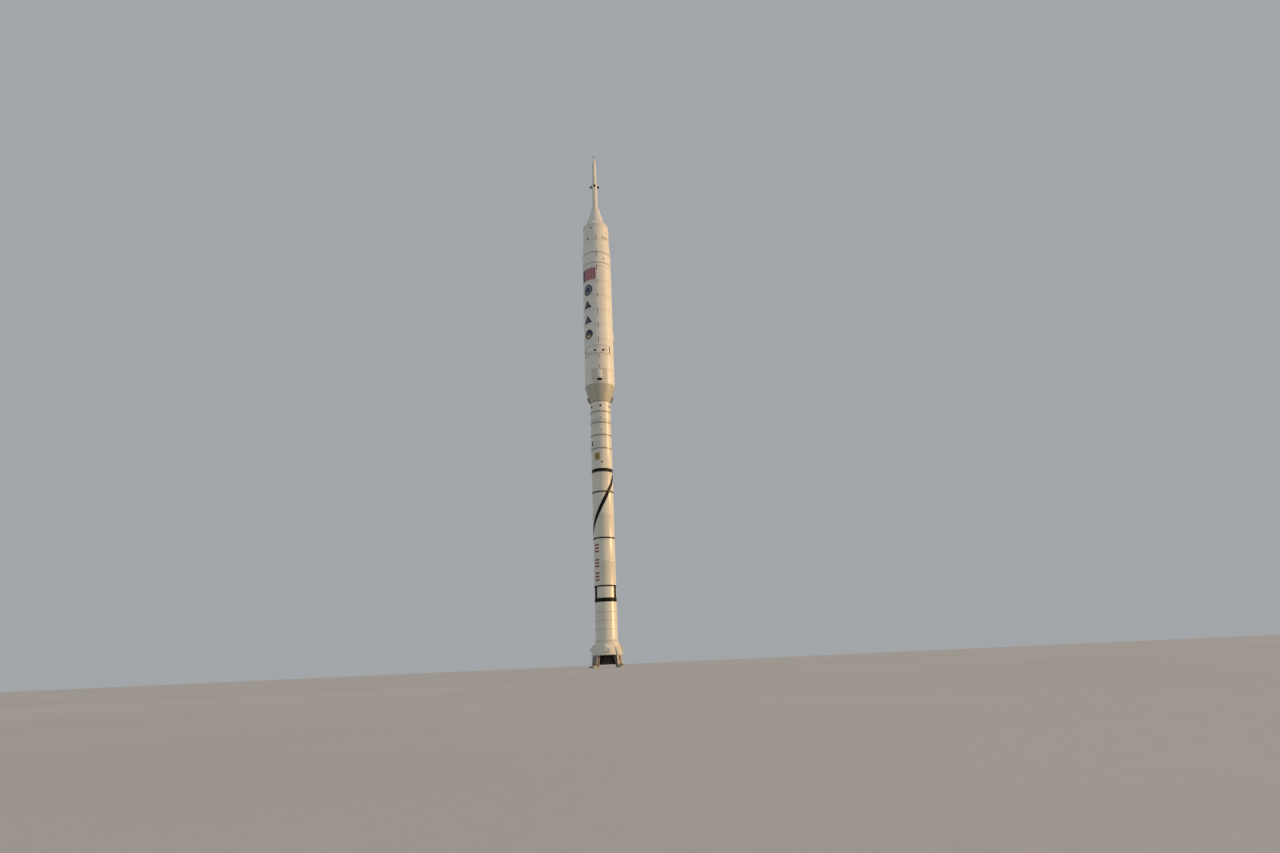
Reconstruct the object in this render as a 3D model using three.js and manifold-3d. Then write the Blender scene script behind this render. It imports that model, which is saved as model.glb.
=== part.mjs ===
// A tall two-stage test rocket, built as a 1:10 scale model, standing on its four support posts.
// Millimetres, +Z up. The origin is on the floor, on the rocket's axis. The viewer's side is -Y.
// Azimuths are in degrees round the axis: 0 faces the viewer (-Y), +90 is the right side (+X).

import * as THREE from "three";
import { mergeVertices } from "three/addons/utils/BufferGeometryUtils.js";
import Module from "manifold-3d";

const wasm = await Module();
wasm.setup();

// Scale: all driving dimensions are real metres, and one real metre is 100 mm on the model.
const MM_PER_METRE = 100;

// Radii of the main bodies, in real metres.
const BOOSTER_RADIUS = 1.855;
const UPPER_RADIUS = 2.75;
const SERVICE_RADIUS = 2.515;
const SKIRT_BASE_RADIUS = 2.645;
const SKIRT_TOP_RADIUS = 1.93;
const SKIRT_RING_HEIGHT = 0.14;
const SKIRT_RING_PROUD = 0.04;
const SKIRT_RING_DEPTH = 0.15;

// Brackets on the skirt over the posts, and the motor pods between them, in real metres.
const BRACKET_WIDTH = 0.62;
const BRACKET_FOOT = 0.3;
const BRACKET_HEIGHT = 1.5;
const POD_AZIMUTHS = [0, 90, 180, 270];
const POD_WIDTH = 1.1;
const POD_FOOT = 0.55;
const POD_FRONT = 0.55;
const POD_TOP = 1.75;
const POD_REACH = 2.8;

// Support posts: profile radii at top and foot, width across, and height from floor to skirt.
const POST_HEIGHT = 1.95;
const POST_TOP_INNER = 2.24;
const POST_TOP_OUTER = 2.84;
const POST_FOOT_INNER = 2.56;
const POST_FOOT_OUTER = 3.64;
const POST_WIDTH = 1.2;
const POST_PLATE = 0.22;
const POST_WEB = 0.4;
const POST_FLANGE = 0.14;
const POST_FLARE = 0.22;
const POST_AZIMUTHS = [45, 135, 225, 315];

// Stations: heights above the skirt's base, in real metres.
const SKIRT_TOP = 2.3;
const AFT_JOINT = 11.16;
const CENTRE_JOINT = 19.28;
const FORWARD_JOINT = 27.41;
const FORWARD_SEGMENT_TOP = 35.25;
const SIMULATOR_JOINT = 37.75;
const SIMULATOR_TOP = 40.1;
const FORWARD_SKIRT_TOP = 42.2;
const EXTENSION_TOP = 44.45;
const FRUSTUM_TOP = 47.5;
const INTERSTAGE_1_TOP = 50.4;
const INTERSTAGE_2_TOP = 53.3;
const UPPER_SEGMENTS_TOP = 74.9;
const UPPER_SEGMENT_COUNT = 7;
const ADAPTER_TOP = 78.0;
const SERVICE_TOP = 81.4;
const CREW_TOP = 82.9;
const TOWER_CONE_TOP = 86.3;
const MANIFOLD_BASE = 91.25;
const MANIFOLD_TOP = 92.45;
const JETTISON_TOP = 96.8;
const NOSE_TOP = 98.7;
const BOOM_TOP = 99.7;

// Flanges and rings that stand proud of the booster, in real metres.
const FIELD_RING_HEIGHT = 0.24;
const FIELD_RING_PROUD = 0.03;
const STIFFENER_HEIGHT = 0.1;
const STIFFENER_PROUD = 0.07;
const STIFFENER_STATIONS = [4.1, 5.5, 6.9];
const FLANGE_HEIGHT = 0.26;
const FLANGE_PROUD = 0.03;
const FACTORY_BAND_HEIGHT = 0.2;
const FACTORY_BAND_PROUD = 0.015;
const FACTORY_BAND_STATIONS = [15.22, 23.35, 31.0];

// Nozzle, its flexible bearing and the shield rings round it, in real metres.
const PIVOT = 1.3;
const NOZZLE_EXIT = -1.5;
const NOZZLE_EXIT_RADIUS = 1.9;
const NOZZLE_WALL = 0.08;
const THROAT_RADIUS = 0.6;
const THROAT_DROP = 0.25;
const NOZZLE_BALL_RADIUS = 0.76;
const NOZZLE_NECK_RADIUS = 0.74;
const NOZZLE_FLANGE_RADIUS = 1.06;
const NOZZLE_FLANGE_DROPS = [0.3, 0.58];
const BEARING_INNER = 0.768;
const BEARING_OUTER = 0.85;
const HOUSING_SPHERE = 0.858;
const HOUSING_RADIUS = 1.15;
const SHIELD_STATION = 0.75;
const SHIELD_THICKNESS = 0.04;
const SHIELD_RADIUS = 1.8;
const CURTAIN_STATION = 0.26;
const CURTAIN_THICKNESS = 0.04;
const CURTAIN_INNER = 1.7;

// Crew module and abort tower radii, in real metres.
const CREW_SHOULDER = { radius: 2.5, height: 0.3 };
const CREW_TOP_RADIUS = 1.72;
const TOWER_CONE_TOP_RADIUS = 0.78;
const TOWER_RADIUS = 0.5;
const TOWER_FLANGE = { radius: 0.6, height: 0.12 };
const MANIFOLD_RADIUS = 0.52;
const UPPER_TOWER_RADIUS = 0.4;
const BOOM_ROOT_RADIUS = 0.1;
const BOOM_RADIUS = 0.05;
const ABORT_NOZZLE_LEAN = 25;
const ABORT_NOZZLE_LENGTH = 0.45;
const ABORT_NOZZLE_RADII = { boss: 0.12, top: 0.1, throat: 0.05, exit: 0.21 };
const ABORT_NOZZLE_AZIMUTHS = [0, 90, 180, 270];

// Faces round each body, and the gap that touching curved pieces keep, in millimetres.
const ROUND_FACES = 48;
const SLIM_FACES = 24;
const SEAT_GAP = 0.3;

// Paints, as the photograph shows them.
const WHITE = { color: 0xe8e5de, roughness: 0.5, metalness: 0.0 };
const GREY = { color: 0x98938a, roughness: 0.6, metalness: 0.0 };
const BLACK = { color: 0x1d1c1e, roughness: 0.6, metalness: 0.0 };
const STEEL = { color: 0x7d7f82, roughness: 0.45, metalness: 0.8 };
const CHARRED = { color: 0x2a2725, roughness: 0.8, metalness: 0.0 };
const CURTAIN_CLOTH = { color: 0xb9b2a4, roughness: 0.9, metalness: 0.0 };

const rocket = new THREE.Group();

// Lengths and levels in millimetres. Levels are whole millimetres, so stacked faces meet exactly.
const mm = (metres) => metres * MM_PER_METRE;
const level = (station) => Math.round(mm(POST_HEIGHT + station));
const radians = (degrees) => (degrees * Math.PI) / 180;

// Turn that brings a piece built along +X to its azimuth.
const turnOf = (azimuth) => radians(azimuth - 90);

function addPart(name, geometry, paint, z = 0) {
  const mesh = new THREE.Mesh(geometry, new THREE.MeshStandardMaterial(paint));
  mesh.name = name;
  mesh.position.z = z;
  rocket.add(mesh);
  return mesh;
}

// A body of revolution about Z. Each point is [radius, z], with the solid on the path's left.
function turned(points, faces = ROUND_FACES) {
  const outline = points.map(([radius, z]) => new THREE.Vector2(radius, z));
  const geometry = new THREE.LatheGeometry(outline, faces);
  geometry.rotateX(Math.PI / 2);
  return geometry;
}

// A ring about Z, whose section closes on itself.
function turnedRing(points, faces = ROUND_FACES) {
  return turned([...points, points[0]], faces);
}

function plainRing(innerRadius, outerRadius, bottom, top, faces = ROUND_FACES) {
  const section = [[innerRadius, bottom], [outerRadius, bottom], [outerRadius, top], [innerRadius, top]];
  return turnedRing(section, faces);
}

// Points on a circle round [0, centre], by angle from +Z in degrees.
function sphereArc(centre, radius, from, to, steps) {
  return Array.from({ length: steps + 1 }, (_, i) => {
    const angle = radians(from + ((to - from) * i) / steps);
    return [radius * Math.sin(angle), centre + radius * Math.cos(angle)];
  });
}

function solidOf(geometry) {
  const bare = geometry.index ? geometry.toNonIndexed() : geometry.clone();
  const points = new THREE.BufferGeometry().setAttribute("position", bare.getAttribute("position"));
  const merged = mergeVertices(points, 1e-3);
  const triVerts = new Uint32Array(merged.index.array);
  const vertProperties = merged.attributes.position.array;
  return new wasm.Manifold(new wasm.Mesh({ numProp: 3, vertProperties, triVerts }));
}

function geometryOf(solid) {
  const { numProp, vertProperties, triVerts } = solid.getMesh();
  const positions = new Float32Array((vertProperties.length / numProp) * 3);
  for (let i = 0; i < positions.length / 3; i += 1) {
    positions.set(vertProperties.subarray(i * numProp, i * numProp + 3), i * 3);
  }
  const geometry = new THREE.BufferGeometry();
  geometry.setAttribute("position", new THREE.BufferAttribute(positions, 3));
  geometry.setIndex(new THREE.BufferAttribute(new Uint32Array(triVerts), 1));
  return geometry;
}

function joined(...geometries) {
  return geometryOf(geometries.map(solidOf).reduce((whole, piece) => whole.add(piece)));
}

function cut(geometry, ...cutters) {
  const whole = solidOf(geometry);
  return geometryOf(cutters.map(solidOf).reduce((rest, cutter) => rest.subtract(cutter), whole));
}

// A plate whose outline [radius, z] stands in a radial plane, extruded across it and turned to its azimuth.
function radialPlate(outline, width, azimuth) {
  const shape = new THREE.Shape(outline.map(([radius, z]) => new THREE.Vector2(radius, z)));
  const geometry = new THREE.ExtrudeGeometry(shape, { depth: width, bevelEnabled: false });
  geometry.translate(0, 0, -width / 2);
  geometry.rotateX(Math.PI / 2);
  geometry.rotateZ(turnOf(azimuth));
  return geometry;
}

// A curved panel round the axis, between two radii, two azimuths and two levels.
function curvedPanel(innerRadius, outerRadius, fromAzimuth, toAzimuth, bottom, top, steps = 8) {
  const shape = new THREE.Shape();
  shape.absarc(0, 0, outerRadius, turnOf(fromAzimuth), turnOf(toAzimuth), false);
  shape.absarc(0, 0, innerRadius, turnOf(toAzimuth), turnOf(fromAzimuth), true);
  const options = { depth: top - bottom, bevelEnabled: false, curveSegments: steps };
  const geometry = new THREE.ExtrudeGeometry(shape, options);
  geometry.translate(0, 0, bottom);
  return geometry;
}

// A fairing on a round body. Its ends slope to the skin, and it is cut to sit on it with the seat gap.
function fairing({ bodyRadius, proud, width, azimuth, bottom, top, slope }) {
  const under = Math.sqrt(bodyRadius ** 2 - (width / 2) ** 2) - SEAT_GAP * 4;
  const crest = bodyRadius + proud;
  const outline = [[under, bottom], [crest, bottom + slope], [crest, top - slope], [under, top]];
  const seat = bodyRadius + SEAT_GAP;
  const skin = turned([[0, bottom - 1], [seat, bottom - 1], [seat, top + 1], [0, top + 1]]);
  return cut(radialPlate(outline, width, azimuth), skin);
}

// The four points of a ring that stands proud of a straight wall, from its foot up.
function proudStep(radius, proud, z, height) {
  const inner = mm(radius);
  const outer = mm(radius + proud);
  return [[inner, z], [outer, z], [outer, z + mm(height)], [inner, z + mm(height)]];
}

// A plain body between two stations, with an optional flange ring at its foot and an optional band.
function bodySection({ name, from, to, lowerRadius, upperRadius = lowerRadius, flange, band }) {
  const height = level(to) - level(from);
  const points = [[0, 0]];
  if (flange) {
    points.push([mm(lowerRadius + FLANGE_PROUD), 0], [mm(lowerRadius + FLANGE_PROUD), mm(FLANGE_HEIGHT)]);
    points.push([mm(lowerRadius), mm(FLANGE_HEIGHT)]);
  } else {
    points.push([mm(lowerRadius), 0]);
  }
  if (band) {
    const bandFoot = level(band) - level(from);
    points.push(...proudStep(lowerRadius, FACTORY_BAND_PROUD, bandFoot, FACTORY_BAND_HEIGHT));
  }
  points.push([mm(upperRadius), height], [0, height]);
  addPart(name, turned(points), WHITE, level(from));
}

// A leaning bar's outline in a radial plane, from its inner and outer radius at the foot and at the top.
const bar = ([innerFoot, outerFoot], foot, [innerTop, outerTop], top) => [
  [mm(innerFoot), mm(foot)],
  [mm(outerFoot), mm(foot)],
  [mm(outerTop), mm(top)],
  [mm(innerTop), mm(top)],
];

// Support posts: a leaning web with a flange along each edge, between a foot plate and a head plate.
function addSupportPosts() {
  const foot = POST_PLATE;
  const head = POST_HEIGHT - POST_PLATE;
  const footSpan = [POST_FOOT_INNER, POST_FOOT_OUTER];
  const headSpan = [POST_TOP_INNER, POST_TOP_OUTER];
  const innerEdge = [POST_FOOT_INNER, POST_TOP_INNER];
  const outerEdge = [POST_TOP_OUTER + POST_FLARE, POST_TOP_OUTER];
  const innerFlange = innerEdge.map((radius) => [radius, radius + POST_FLANGE]);
  const outerFlange = outerEdge.map((radius) => [radius - POST_FLANGE, radius]);
  const bars = [
    [bar(footSpan, 0, footSpan, foot), POST_WIDTH],
    [bar(headSpan, head, headSpan, POST_HEIGHT), POST_WIDTH],
    [bar([innerEdge[0], outerEdge[0]], foot, [innerEdge[1], outerEdge[1]], head), POST_WEB],
    [bar(innerFlange[0], foot, innerFlange[1], head), POST_WIDTH],
    [bar(outerFlange[0], foot, outerFlange[1], head), POST_WIDTH],
  ];
  POST_AZIMUTHS.forEach((azimuth, i) => {
    const pieces = bars.map(([outline, width]) => radialPlate(outline, mm(width), azimuth));
    addPart(`support_post_${i + 1}`, joined(...pieces), GREY);
  });
}

// The skirt's wall runs straight between its end rings. Radii of its outer and inner face, by station.
const skirtSlope = (base, top) => (station) => {
  const share = (station - SKIRT_RING_HEIGHT) / (SKIRT_TOP - SKIRT_RING_HEIGHT * 2);
  return base + (top - base) * share;
};
const skirtOuterAt = skirtSlope(SKIRT_BASE_RADIUS - SKIRT_RING_PROUD, SKIRT_TOP_RADIUS - SKIRT_RING_PROUD);
const skirtInnerAt = skirtSlope(SKIRT_BASE_RADIUS - SKIRT_RING_DEPTH, SKIRT_TOP_RADIUS - SKIRT_RING_DEPTH);

// Aft skirt: a hollow cone with a ring at each end and a bracket over each support post.
function addAftSkirt() {
  const height = mm(SKIRT_TOP);
  const ring = mm(SKIRT_RING_HEIGHT);
  const outerAt = (station) => mm(skirtOuterAt(station));
  const innerAt = (station) => mm(skirtInnerAt(station));
  const cone = turnedRing([
    [innerAt(SKIRT_RING_HEIGHT), 0],
    [mm(SKIRT_BASE_RADIUS), 0],
    [mm(SKIRT_BASE_RADIUS), ring],
    [outerAt(SKIRT_RING_HEIGHT), ring],
    [outerAt(SKIRT_TOP - SKIRT_RING_HEIGHT), height - ring],
    [mm(SKIRT_TOP_RADIUS), height - ring],
    [mm(SKIRT_TOP_RADIUS), height],
    [innerAt(SKIRT_TOP - SKIRT_RING_HEIGHT), height],
    [innerAt(SKIRT_TOP - SKIRT_RING_HEIGHT), height - ring],
    [innerAt(SKIRT_RING_HEIGHT), ring],
  ]);
  const bracketOutline = [
    [outerAt(0) - mm(SKIRT_RING_PROUD), 0],
    [mm(POST_TOP_OUTER), 0],
    [mm(POST_TOP_OUTER), mm(BRACKET_FOOT)],
    [outerAt(BRACKET_HEIGHT), mm(BRACKET_HEIGHT)],
    [outerAt(BRACKET_HEIGHT) - mm(SKIRT_RING_PROUD), mm(BRACKET_HEIGHT)],
  ];
  const brackets = POST_AZIMUTHS.map((azimuth) => radialPlate(bracketOutline, mm(BRACKET_WIDTH), azimuth));
  addPart("aft_skirt", joined(cone, ...brackets), WHITE, level(0));
}

// Deceleration motor pods on the skirt, between the brackets.
function addDecelerationPods() {
  const skin = turned([
    [0, 0],
    [mm(skirtOuterAt(0)) + SEAT_GAP, 0],
    [mm(skirtOuterAt(SKIRT_TOP)) + SEAT_GAP, mm(SKIRT_TOP)],
    [0, mm(SKIRT_TOP)],
  ]);
  const outline = [
    [mm(skirtOuterAt(POD_TOP) - 0.2), mm(POD_FOOT)],
    [mm(POD_REACH), mm(POD_FOOT)],
    [mm(POD_REACH), mm(POD_FOOT + POD_FRONT)],
    [mm(skirtOuterAt(POD_TOP) + 0.1), mm(POD_TOP)],
    [mm(skirtOuterAt(POD_TOP) - 0.2), mm(POD_TOP)],
  ];
  POD_AZIMUTHS.forEach((azimuth, i) => {
    const pod = cut(radialPlate(outline, mm(POD_WIDTH), azimuth), skin);
    addPart(`deceleration_pod_${i + 1}`, pod, WHITE, level(0));
  });
}

// Curtain that closes the skirt round the nozzle.
function addThermalCurtain() {
  const outer = mm(skirtInnerAt(CURTAIN_STATION + CURTAIN_THICKNESS)) - SEAT_GAP;
  const ring = plainRing(mm(CURTAIN_INNER), outer, 0, mm(CURTAIN_THICKNESS));
  addPart("thermal_curtain", ring, CURTAIN_CLOTH, level(CURTAIN_STATION));
}

// Fixed housing of the nozzle's bearing, hung under the aft segment.
function addBearingHousing() {
  const top = mm(SKIRT_TOP - PIVOT);
  const cup = sphereArc(0, mm(HOUSING_SPHERE), 65, 20, 6);
  const points = [
    ...cup.reverse(),
    [mm(HOUSING_RADIUS), cup[cup.length - 1][1]],
    [mm(HOUSING_RADIUS), top],
    [cup[0][0], top],
  ];
  addPart("nozzle_bearing_housing", turnedRing(points), STEEL, level(PIVOT));
}

// Flexible bearing: a spherical ring round the pivot, between the housing and the nozzle's ball.
function addFlexBearing() {
  const outer = sphereArc(0, mm(BEARING_OUTER), 60, 25, 6);
  const inner = sphereArc(0, mm(BEARING_INNER), 25, 60, 6);
  addPart("nozzle_flex_bearing", turnedRing([...outer, ...inner]), CHARRED, level(PIVOT));
}

// Radius of the nozzle's bore at a drop below the pivot, as a share of the way from throat to exit.
const boreShare = (share) => 1.35 * share - 0.35 * share ** 2;

// Nozzle: a ball under the bearing, a flanged neck and a bell that is open below and plugged at the throat.
function addNozzle() {
  const exitDrop = PIVOT - NOZZLE_EXIT;
  const innerExit = NOZZLE_EXIT_RADIUS - NOZZLE_WALL;
  const bore = Array.from({ length: 8 }, (_, i) => {
    const share = i / 7;
    return [
      mm(THROAT_RADIUS + (innerExit - THROAT_RADIUS) * boreShare(share)),
      -mm(THROAT_DROP + (exitDrop - THROAT_DROP) * share),
    ];
  });
  const shell = bore.slice(1).reverse().map(([radius, z]) => [radius + mm(NOZZLE_WALL), z]);
  const [flangeTop, flangeFoot] = NOZZLE_FLANGE_DROPS;
  const neck = [
    [mm(NOZZLE_FLANGE_RADIUS), -mm(flangeFoot)],
    [mm(NOZZLE_FLANGE_RADIUS), -mm(flangeTop)],
    [mm(NOZZLE_NECK_RADIUS), -mm(flangeTop)],
  ];
  const ball = sphereArc(0, mm(NOZZLE_BALL_RADIUS), 75, 0, 8);
  ball[ball.length - 1][0] = 0;
  const throat = [[0, -mm(THROAT_DROP)]];
  addPart("nozzle", turned([...throat, ...bore, ...shell, ...neck, ...ball]), CHARRED, level(PIVOT));
}

// Shield ring that rides on the nozzle's flange, above the curtain.
function addNozzleShield() {
  const inner = mm(NOZZLE_FLANGE_RADIUS) + SEAT_GAP;
  const ring = plainRing(inner, mm(SHIELD_RADIUS), 0, mm(SHIELD_THICKNESS));
  addPart("nozzle_shield_ring", ring, STEEL, level(SHIELD_STATION));
}

// Aft segment with its stiffener rings.
function addAftSegment() {
  const base = level(SKIRT_TOP);
  const height = level(AFT_JOINT) - base;
  const points = [[0, 0], [mm(BOOSTER_RADIUS), 0]];
  STIFFENER_STATIONS.forEach((station) => {
    points.push(...proudStep(BOOSTER_RADIUS, STIFFENER_PROUD, level(station) - base, STIFFENER_HEIGHT));
  });
  points.push([mm(BOOSTER_RADIUS), height], [0, height]);
  addPart("aft_segment", turned(points), WHITE, base);
}

// Booster sections above the aft segment, from the foot up.
const BOOSTER_SECTIONS = [
  { name: "aft_centre_segment", from: AFT_JOINT, to: CENTRE_JOINT, band: FACTORY_BAND_STATIONS[0] },
  { name: "forward_centre_segment", from: CENTRE_JOINT, to: FORWARD_JOINT, band: FACTORY_BAND_STATIONS[1] },
  { name: "forward_segment", from: FORWARD_JOINT, to: FORWARD_SEGMENT_TOP, band: FACTORY_BAND_STATIONS[2] },
  { name: "fifth_segment_lower", from: FORWARD_SEGMENT_TOP, to: SIMULATOR_JOINT, flange: true },
  { name: "fifth_segment_upper", from: SIMULATOR_JOINT, to: SIMULATOR_TOP, flange: true },
  { name: "forward_skirt", from: SIMULATOR_TOP, to: FORWARD_SKIRT_TOP, flange: true },
  { name: "forward_skirt_extension", from: FORWARD_SKIRT_TOP, to: EXTENSION_TOP, flange: true },
];

// Joint rings round the booster.
function addFieldJointRings() {
  [AFT_JOINT, CENTRE_JOINT, FORWARD_JOINT].forEach((station, i) => {
    const inner = mm(BOOSTER_RADIUS) + SEAT_GAP;
    const ring = plainRing(inner, mm(BOOSTER_RADIUS + FIELD_RING_PROUD), 0, mm(FIELD_RING_HEIGHT));
    addPart(`field_joint_ring_${i + 1}`, ring, BLACK, level(station - FIELD_RING_HEIGHT / 2));
  });
}

// Frustum, with a motor box up each side from its lower edge, along the cone's slope.
function addFrustum() {
  const height = level(FRUSTUM_TOP) - level(EXTENSION_TOP);
  const cone = turned([
    [0, 0],
    [mm(BOOSTER_RADIUS), 0],
    [mm(UPPER_RADIUS), height - mm(0.1)],
    [mm(UPPER_RADIUS), height],
    [0, height],
  ]);
  const outline = [
    [mm(BOOSTER_RADIUS - 0.2), 0],
    [mm(BOOSTER_RADIUS + 0.24), 0],
    [mm(BOOSTER_RADIUS + 0.56), mm(0.95)],
    [mm(BOOSTER_RADIUS + 0.25), mm(1.12)],
    [mm(BOOSTER_RADIUS - 0.2), mm(1.12)],
  ];
  const boxes = [-90, 90].map((azimuth) => radialPlate(outline, mm(0.5), azimuth));
  addPart("frustum", joined(cone, ...boxes), GREY, level(EXTENSION_TOP));
}

// Upper stage: two interstage sections and seven like segments.
function addUpperStage() {
  const addDrum = (name, from, to) => bodySection({ name, from, to, lowerRadius: UPPER_RADIUS });
  addDrum("interstage_1", FRUSTUM_TOP, INTERSTAGE_1_TOP);
  addDrum("interstage_2", INTERSTAGE_1_TOP, INTERSTAGE_2_TOP);
  const segmentHeight = (UPPER_SEGMENTS_TOP - INTERSTAGE_2_TOP) / UPPER_SEGMENT_COUNT;
  for (let i = 0; i < UPPER_SEGMENT_COUNT; i += 1) {
    const from = INTERSTAGE_2_TOP + segmentHeight * i;
    addDrum(`upper_segment_${i + 1}`, from, from + segmentHeight);
  }
}

// Roll control pods on the first interstage section: a panel, its fairing and a nozzle block under that.
function addRollControlPods() {
  const bottom = level(48.4);
  const top = level(50.35);
  const skin = mm(UPPER_RADIUS) + SEAT_GAP;
  const panelOuter = mm(UPPER_RADIUS + 0.04);
  [["front", 0], ["back", 180]].forEach(([side, azimuth]) => {
    const panel = curvedPanel(skin, panelOuter, azimuth - 31, azimuth + 31, bottom, top);
    const hump = fairing({
      bodyRadius: mm(UPPER_RADIUS),
      proud: mm(0.19),
      width: mm(0.9),
      azimuth,
      bottom: bottom + 20,
      top: top - 20,
      slope: mm(0.4),
    });
    const blockOutline = [
      [skin, bottom - mm(0.4)],
      [mm(UPPER_RADIUS + 0.14), bottom - mm(0.4)],
      [mm(UPPER_RADIUS + 0.22), bottom - mm(0.1)],
      [mm(UPPER_RADIUS + 0.22), bottom + mm(0.25)],
      [skin, bottom + mm(0.25)],
    ];
    const nozzleBlock = radialPlate(blockOutline, mm(0.7), azimuth);
    addPart(`roll_control_pod_${side}`, joined(panel, hump, nozzleBlock), GREY);
  });
}

// Small fairing low on the right side of the upper stage.
function addSideFairing() {
  const geometry = fairing({
    bodyRadius: mm(UPPER_RADIUS),
    proud: mm(0.2),
    width: mm(0.6),
    azimuth: 90,
    bottom: level(57.0),
    top: level(58.6),
    slope: mm(0.25),
  });
  addPart("side_fairing", geometry, WHITE);
}

// Systems tunnels up the back, notched where they cross the booster's rings.
function addSystemsTunnels() {
  const bodyRadius = mm(BOOSTER_RADIUS);
  const fieldJoints = [AFT_JOINT, CENTRE_JOINT, FORWARD_JOINT];
  const flanges = [FORWARD_SEGMENT_TOP, SIMULATOR_JOINT, SIMULATOR_TOP];
  const spans = [
    ...STIFFENER_STATIONS.map((station) => [station, STIFFENER_HEIGHT, STIFFENER_PROUD]),
    ...fieldJoints.map((station) => [station - FIELD_RING_HEIGHT / 2, FIELD_RING_HEIGHT, FIELD_RING_PROUD]),
    ...FACTORY_BAND_STATIONS.map((station) => [station, FACTORY_BAND_HEIGHT, FACTORY_BAND_PROUD]),
    ...flanges.map((station) => [station, FLANGE_HEIGHT, FLANGE_PROUD]),
  ];
  const notches = spans.map(([station, height, proud]) => {
    const bottom = level(station) - SEAT_GAP;
    const outer = bodyRadius + mm(proud) + SEAT_GAP;
    return plainRing(bodyRadius - 10, outer, bottom, level(station) + mm(height) + SEAT_GAP);
  });
  const booster = fairing({
    bodyRadius,
    proud: mm(0.16),
    width: mm(0.5),
    azimuth: 180,
    bottom: level(3.0),
    top: level(41.9),
    slope: mm(0.3),
  });
  addPart("booster_systems_tunnel", cut(booster, ...notches), WHITE);
  const upper = fairing({
    bodyRadius: mm(UPPER_RADIUS),
    proud: mm(0.16),
    width: mm(0.5),
    azimuth: 180,
    bottom: level(INTERSTAGE_1_TOP + 0.1),
    top: level(UPPER_SEGMENTS_TOP - 0.3),
    slope: mm(0.3),
  });
  addPart("upper_systems_tunnel", upper, WHITE);
}

// Spacecraft: tapered adapter, service module and the crew module's cone.
function addSpacecraft() {
  bodySection({
    name: "spacecraft_adapter",
    from: UPPER_SEGMENTS_TOP,
    to: ADAPTER_TOP,
    lowerRadius: UPPER_RADIUS,
    upperRadius: SERVICE_RADIUS,
  });
  bodySection({ name: "service_module", from: ADAPTER_TOP, to: SERVICE_TOP, lowerRadius: SERVICE_RADIUS });
  const height = level(CREW_TOP) - level(SERVICE_TOP);
  const cone = turned([
    [0, 0],
    [mm(SERVICE_RADIUS), 0],
    [mm(CREW_SHOULDER.radius), mm(CREW_SHOULDER.height)],
    [mm(CREW_TOP_RADIUS), height],
    [0, height],
  ]);
  addPart("crew_module", cone, WHITE, level(SERVICE_TOP));
  bodySection({
    name: "tower_adapter_cone",
    from: CREW_TOP,
    to: TOWER_CONE_TOP,
    lowerRadius: CREW_TOP_RADIUS,
    upperRadius: TOWER_CONE_TOP_RADIUS,
  });
}

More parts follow.
